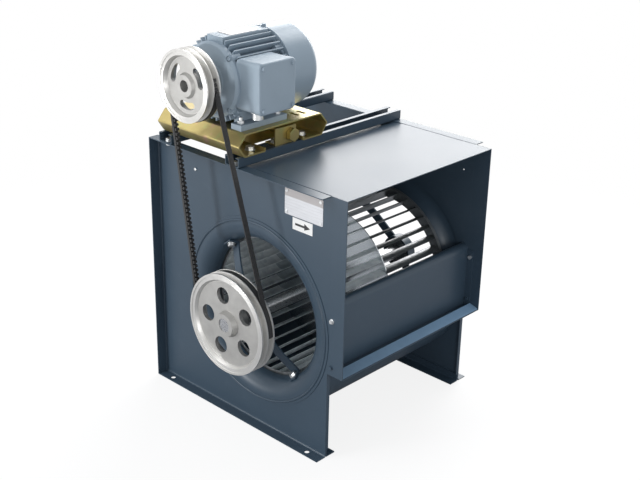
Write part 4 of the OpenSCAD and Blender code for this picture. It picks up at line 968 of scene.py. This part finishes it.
class BLOWER_OT_motor(bpy.types.Operator):
    """Motor with its terminal box and base"""
    bl_idname = "blower.motor"
    bl_label = "Motor"

    COVER_ROUND, COVER_EDGE, COVER_WALL, COVER_NEAR = 10 * MM, 4 * MM, 3 * MM, 0.3 * MM
    ROUND_STEPS, EDGE_STEPS = 8, 5
    WEB_LIP, WEB_GAP, WEB_T, WEB_END, WEB_INSET = 58 * MM, 3 * MM, 2.5 * MM, 43 * MM, 1 * MM

    def execute(self, context):
        soften("motor_paint", FRAME_EDGE, "motor_frame")
        soften(
            "motor_paint", sizes().cast_r, "motor_feet", "end_shield_front", "end_shield_rear",
            "terminal_box")
        self.cover()
        soften("cowl_paint", THIN_EDGE, "fan_cowl")
        soften("yellow_zinc", FRAME_EDGE, "motor_base", fold=sizes().fold_r, extra=self.web())
        soften("yellow_zinc", BRACKET_EDGE, "clamp_bracket", "adjusting_screw")
        dress("core_steel", "stator_core", "rotor_core")
        dress("copper", "stator_windings")
        dress("brown_plastic", "terminal_block")
        dress("black_plastic", "cooling_fan")
        dress("bare_steel", "motor_shaft", "motor_bearings", "motor_pulley_key")
        soften("bright_zinc", CONE_EDGE, "cable_gland")
        dress("plate_metal", "motor_nameplate")
        return {"FINISHED"}

    def rounded_box(self, name, low, high):
        """A box whose edges along X are rounded."""
        piece = block(name, low, high)
        along = abs(high[0] - low[0]) / 2
        round_edges(piece, self.COVER_ROUND, self.ROUND_STEPS, lambda edge, a, b: abs(b.x - a.x) > along)
        return piece

    def cover(self):
        """Lid of the terminal box: a rounded tray with a soft rim, open towards the motor."""
        low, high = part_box("terminal_cover")
        lid = self.rounded_box("terminal_lid", low, high)
        front = high.x - self.COVER_NEAR
        round_edges(lid, self.COVER_EDGE, self.EDGE_STEPS, lambda edge, a, b: min(a.x, b.x) > front)
        wall = Vector((self.COVER_WALL,) * 3)
        room = self.rounded_box("room", low + wall - Vector((2 * self.COVER_WALL, 0, 0)), high - wall)
        cut(lid, room)
        bevel(lid, CONE_EDGE)
        fit(lid, "motor_paint", "motor_sled", "terminal_cover")

    def web(self):
        """Sheet of the motor base between its two lips."""
        low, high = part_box("motor_base")
        start = (low.x + self.WEB_INSET, low.y + self.WEB_LIP + self.WEB_GAP, low.z)
        end = (-self.WEB_END, high.y - self.WEB_LIP - self.WEB_GAP, low.z + self.WEB_T)
        return block("base_web", start, end)


class BLOWER_OT_fasteners(bpy.types.Operator):
    """Bolts, screws, rivets and plates"""
    bl_idname = "blower.fasteners"
    bl_label = "Fasteners and plates"

    def execute(self, context):
        soften("bright_zinc", THIN_EDGE, "bracket_bolts", "rail_bolts", "clamp_bolts", "motor_bolts")
        soften("motor_paint", SCREW_EDGE, "motor_screws")
        soften("bright_zinc", SCREW_EDGE, "plate_rivets")
        bolts, = soften("bright_zinc", SCREW_EDGE, "cutoff_bolts")
        middle_z = middle("cutoff_bolts").z
        paint_where(bolts, "housing_paint", lambda place: place.z < middle_z)
        soften("plate_metal", PLATE_EDGE, "data_plate")
        soften("white_plate", PLATE_EDGE, "arrow_plate")
        dress("black_print", "arrow_mark")
        return {"FINISHED"}


class BLOWER_OT_stage(bpy.types.Operator):
    """Floor, lamps, world and camera"""
    bl_idname = "blower.stage"
    bl_label = "Stage"

    FLOOR_R, FADE_IN, FLOOR_GLOW = 1.6, 1.0, 0.85
    FLOOR_COLOUR, FILL = (0.45, 0.45, 0.46, 1), (0.5, 0.52, 0.55, 1)
    WHITE = (1, 1, 1, 1)
    # Name, place, aim, width and power of each lamp
    LAMPS = (
        ("key_lamp", (-1.5, -2.3, 2.6), (0, 0, 0.4), 1.8, 37),
        ("back_lamp", (-1.6, 2.75, 1.75), (0, 0, 0.55), 2.5, 92),
        ("top_lamp", (-0.2, 2.0, 2.4), (0.2, 0, 0.3), 1.3, 34),
        ("inlet_lamp", (-0.95, -2.5, 0.42), (0.08, 0, 0.28), 0.55, 30),
        ("outlet_lamp", (1.9, -0.9, 0.8), (0.26, 0.2, 0.36), 0.6, 8))
    CAMERA_AT = Vector((1.58555, -1.6633, 1.3396))
    VIEW = Vector((-0.62929, 0.67116, -0.39185))
    UP = Vector((-0.28357, 0.27115, 0.91982))
    LENS, SENSOR, FAR_END = 64.03, 36, 50

    def execute(self, context):
        self.floor()
        self.world()
        for values in self.LAMPS:
            self.lamp(*values)
        self.camera()
        return {"FINISHED"}

    def floor(self):
        """Plain pale floor that fades out before its rim and keeps the shadow."""
        only(frame["nodes"]["foot_angles"])
        bpy.ops.mesh.primitive_circle_add(vertices=96, radius=self.FLOOR_R, fill_type="NGON")
        floor = bpy.context.object
        floor.name = "floor"
        finish = Finish("floor_paint")
        away = finish.node(
            "ShaderNodeVectorMath", {"operation": "LENGTH"}, {0: finish.points}, output="Value")
        fade = finish.between(away, self.FADE_IN, self.FLOOR_R)
        seen = finish.node("ShaderNodeLightPath", output="Is Camera Ray")
        colour = finish.blend(seen, self.FLOOR_COLOUR, self.WHITE)
        plain = finish.node("ShaderNodeBsdfDiffuse", None, {"Color": colour})
        glow = finish.node("ShaderNodeEmission", None, {"Color": self.WHITE, "Strength": 1.0})
        lit = finish.node("ShaderNodeMixShader", None, {0: seen * self.FLOOR_GLOW, 1: plain, 2: glow})
        clear = finish.node("ShaderNodeBsdfTransparent")
        finish.end(finish.node("ShaderNodeMixShader", None, {0: fade, 1: lit, 2: clear}))
        floor.data.materials.append(finish.material)

    def world(self):
        """White for what looks straight at it, a soft fill for everything else."""
        world = bpy.data.worlds.new("studio")
        bpy.context.scene.world = world
        world.use_nodes = True
        tree = world.node_tree
        tree.nodes.clear()
        path = tree.nodes.new("ShaderNodeLightPath")
        seen = path.outputs["Is Camera Ray"]
        for ray in ("Is Glossy Ray", "Is Transmission Ray"):
            either = tree.nodes.new("ShaderNodeMath")
            either.operation = "MAXIMUM"
            tree.links.new(seen, either.inputs[0])
            tree.links.new(path.outputs[ray], either.inputs[1])
            seen = either.outputs[0]
        mix = tree.nodes.new("ShaderNodeMix")
        mix.data_type = "RGBA"
        mix.inputs[6].default_value = self.FILL
        mix.inputs[7].default_value = self.WHITE
        tree.links.new(seen, mix.inputs[0])
        sky = tree.nodes.new("ShaderNodeBackground")
        tree.links.new(mix.outputs[2], sky.inputs["Color"])
        output = tree.nodes.new("ShaderNodeOutputWorld")
        tree.links.new(sky.outputs[0], output.inputs["Surface"])

    def lamp(self, name, place, aim, size, power):
        """A square soft lamp turned towards its aim."""
        bpy.ops.object.light_add(type="AREA", location=place)
        lamp = bpy.context.object
        lamp.name = name
        lamp.data.shape = "SQUARE"
        lamp.data.size = size
        lamp.data.energy = power
        lamp.rotation_euler = (Vector(aim) - Vector(place)).to_track_quat("-Z", "Y").to_euler()

    def camera(self):
        """Camera with the photo's place, turn and lens."""
        bpy.ops.object.camera_add(location=self.CAMERA_AT)
        camera = bpy.context.object
        camera.name = "camera"
        camera.data.sensor_width = self.SENSOR
        camera.data.lens = self.LENS
        camera.data.clip_end = self.FAR_END
        right = self.VIEW.cross(self.UP).normalized()
        up = right.cross(self.VIEW).normalized()
        turn = Matrix((right, up, -self.VIEW.normalized())).transposed().to_4x4()
        camera.matrix_world = Matrix.Translation(self.CAMERA_AT) @ turn
        bpy.context.scene.camera = camera


class BLOWER_PT_panel(bpy.types.Panel):
    """Lists the steps and the sizes of the blower"""
    bl_label = "Blower"
    bl_idname = "BLOWER_PT_panel"
    bl_space_type = "VIEW_3D"
    bl_region_type = "UI"
    bl_category = "Blower"

    def draw(self, context):
        for step in STEPS:
            self.layout.operator(step.bl_idname)
        for group in (context.scene.blower_sizes, context.scene.blower_colours):
            for name in group.__annotations__:
                self.layout.prop(group, name)


STEPS = (
    BLOWER_OT_housing, BLOWER_OT_inlets, BLOWER_OT_wheel, BLOWER_OT_pulleys, BLOWER_OT_belt,
    BLOWER_OT_motor, BLOWER_OT_fasteners, BLOWER_OT_stage)
CLASSES = (BlowerSizes, BlowerColours) + STEPS + (BLOWER_PT_panel,)


def register():
    for made in CLASSES:
        bpy.utils.register_class(made)
    bpy.types.Scene.blower_sizes = PointerProperty(type=BlowerSizes)
    bpy.types.Scene.blower_colours = PointerProperty(type=BlowerColours)


def unregister():
    del bpy.types.Scene.blower_sizes
    del bpy.types.Scene.blower_colours
    for made in reversed(CLASSES):
        bpy.utils.unregister_class(made)


def main():
    register()
    bpy.context.scene.view_settings.view_transform = "Standard"
    for step in STEPS:
        group, name = step.bl_idname.split(".")
        getattr(getattr(bpy.ops, group), name)()


if __name__ == "__main__":
    main()
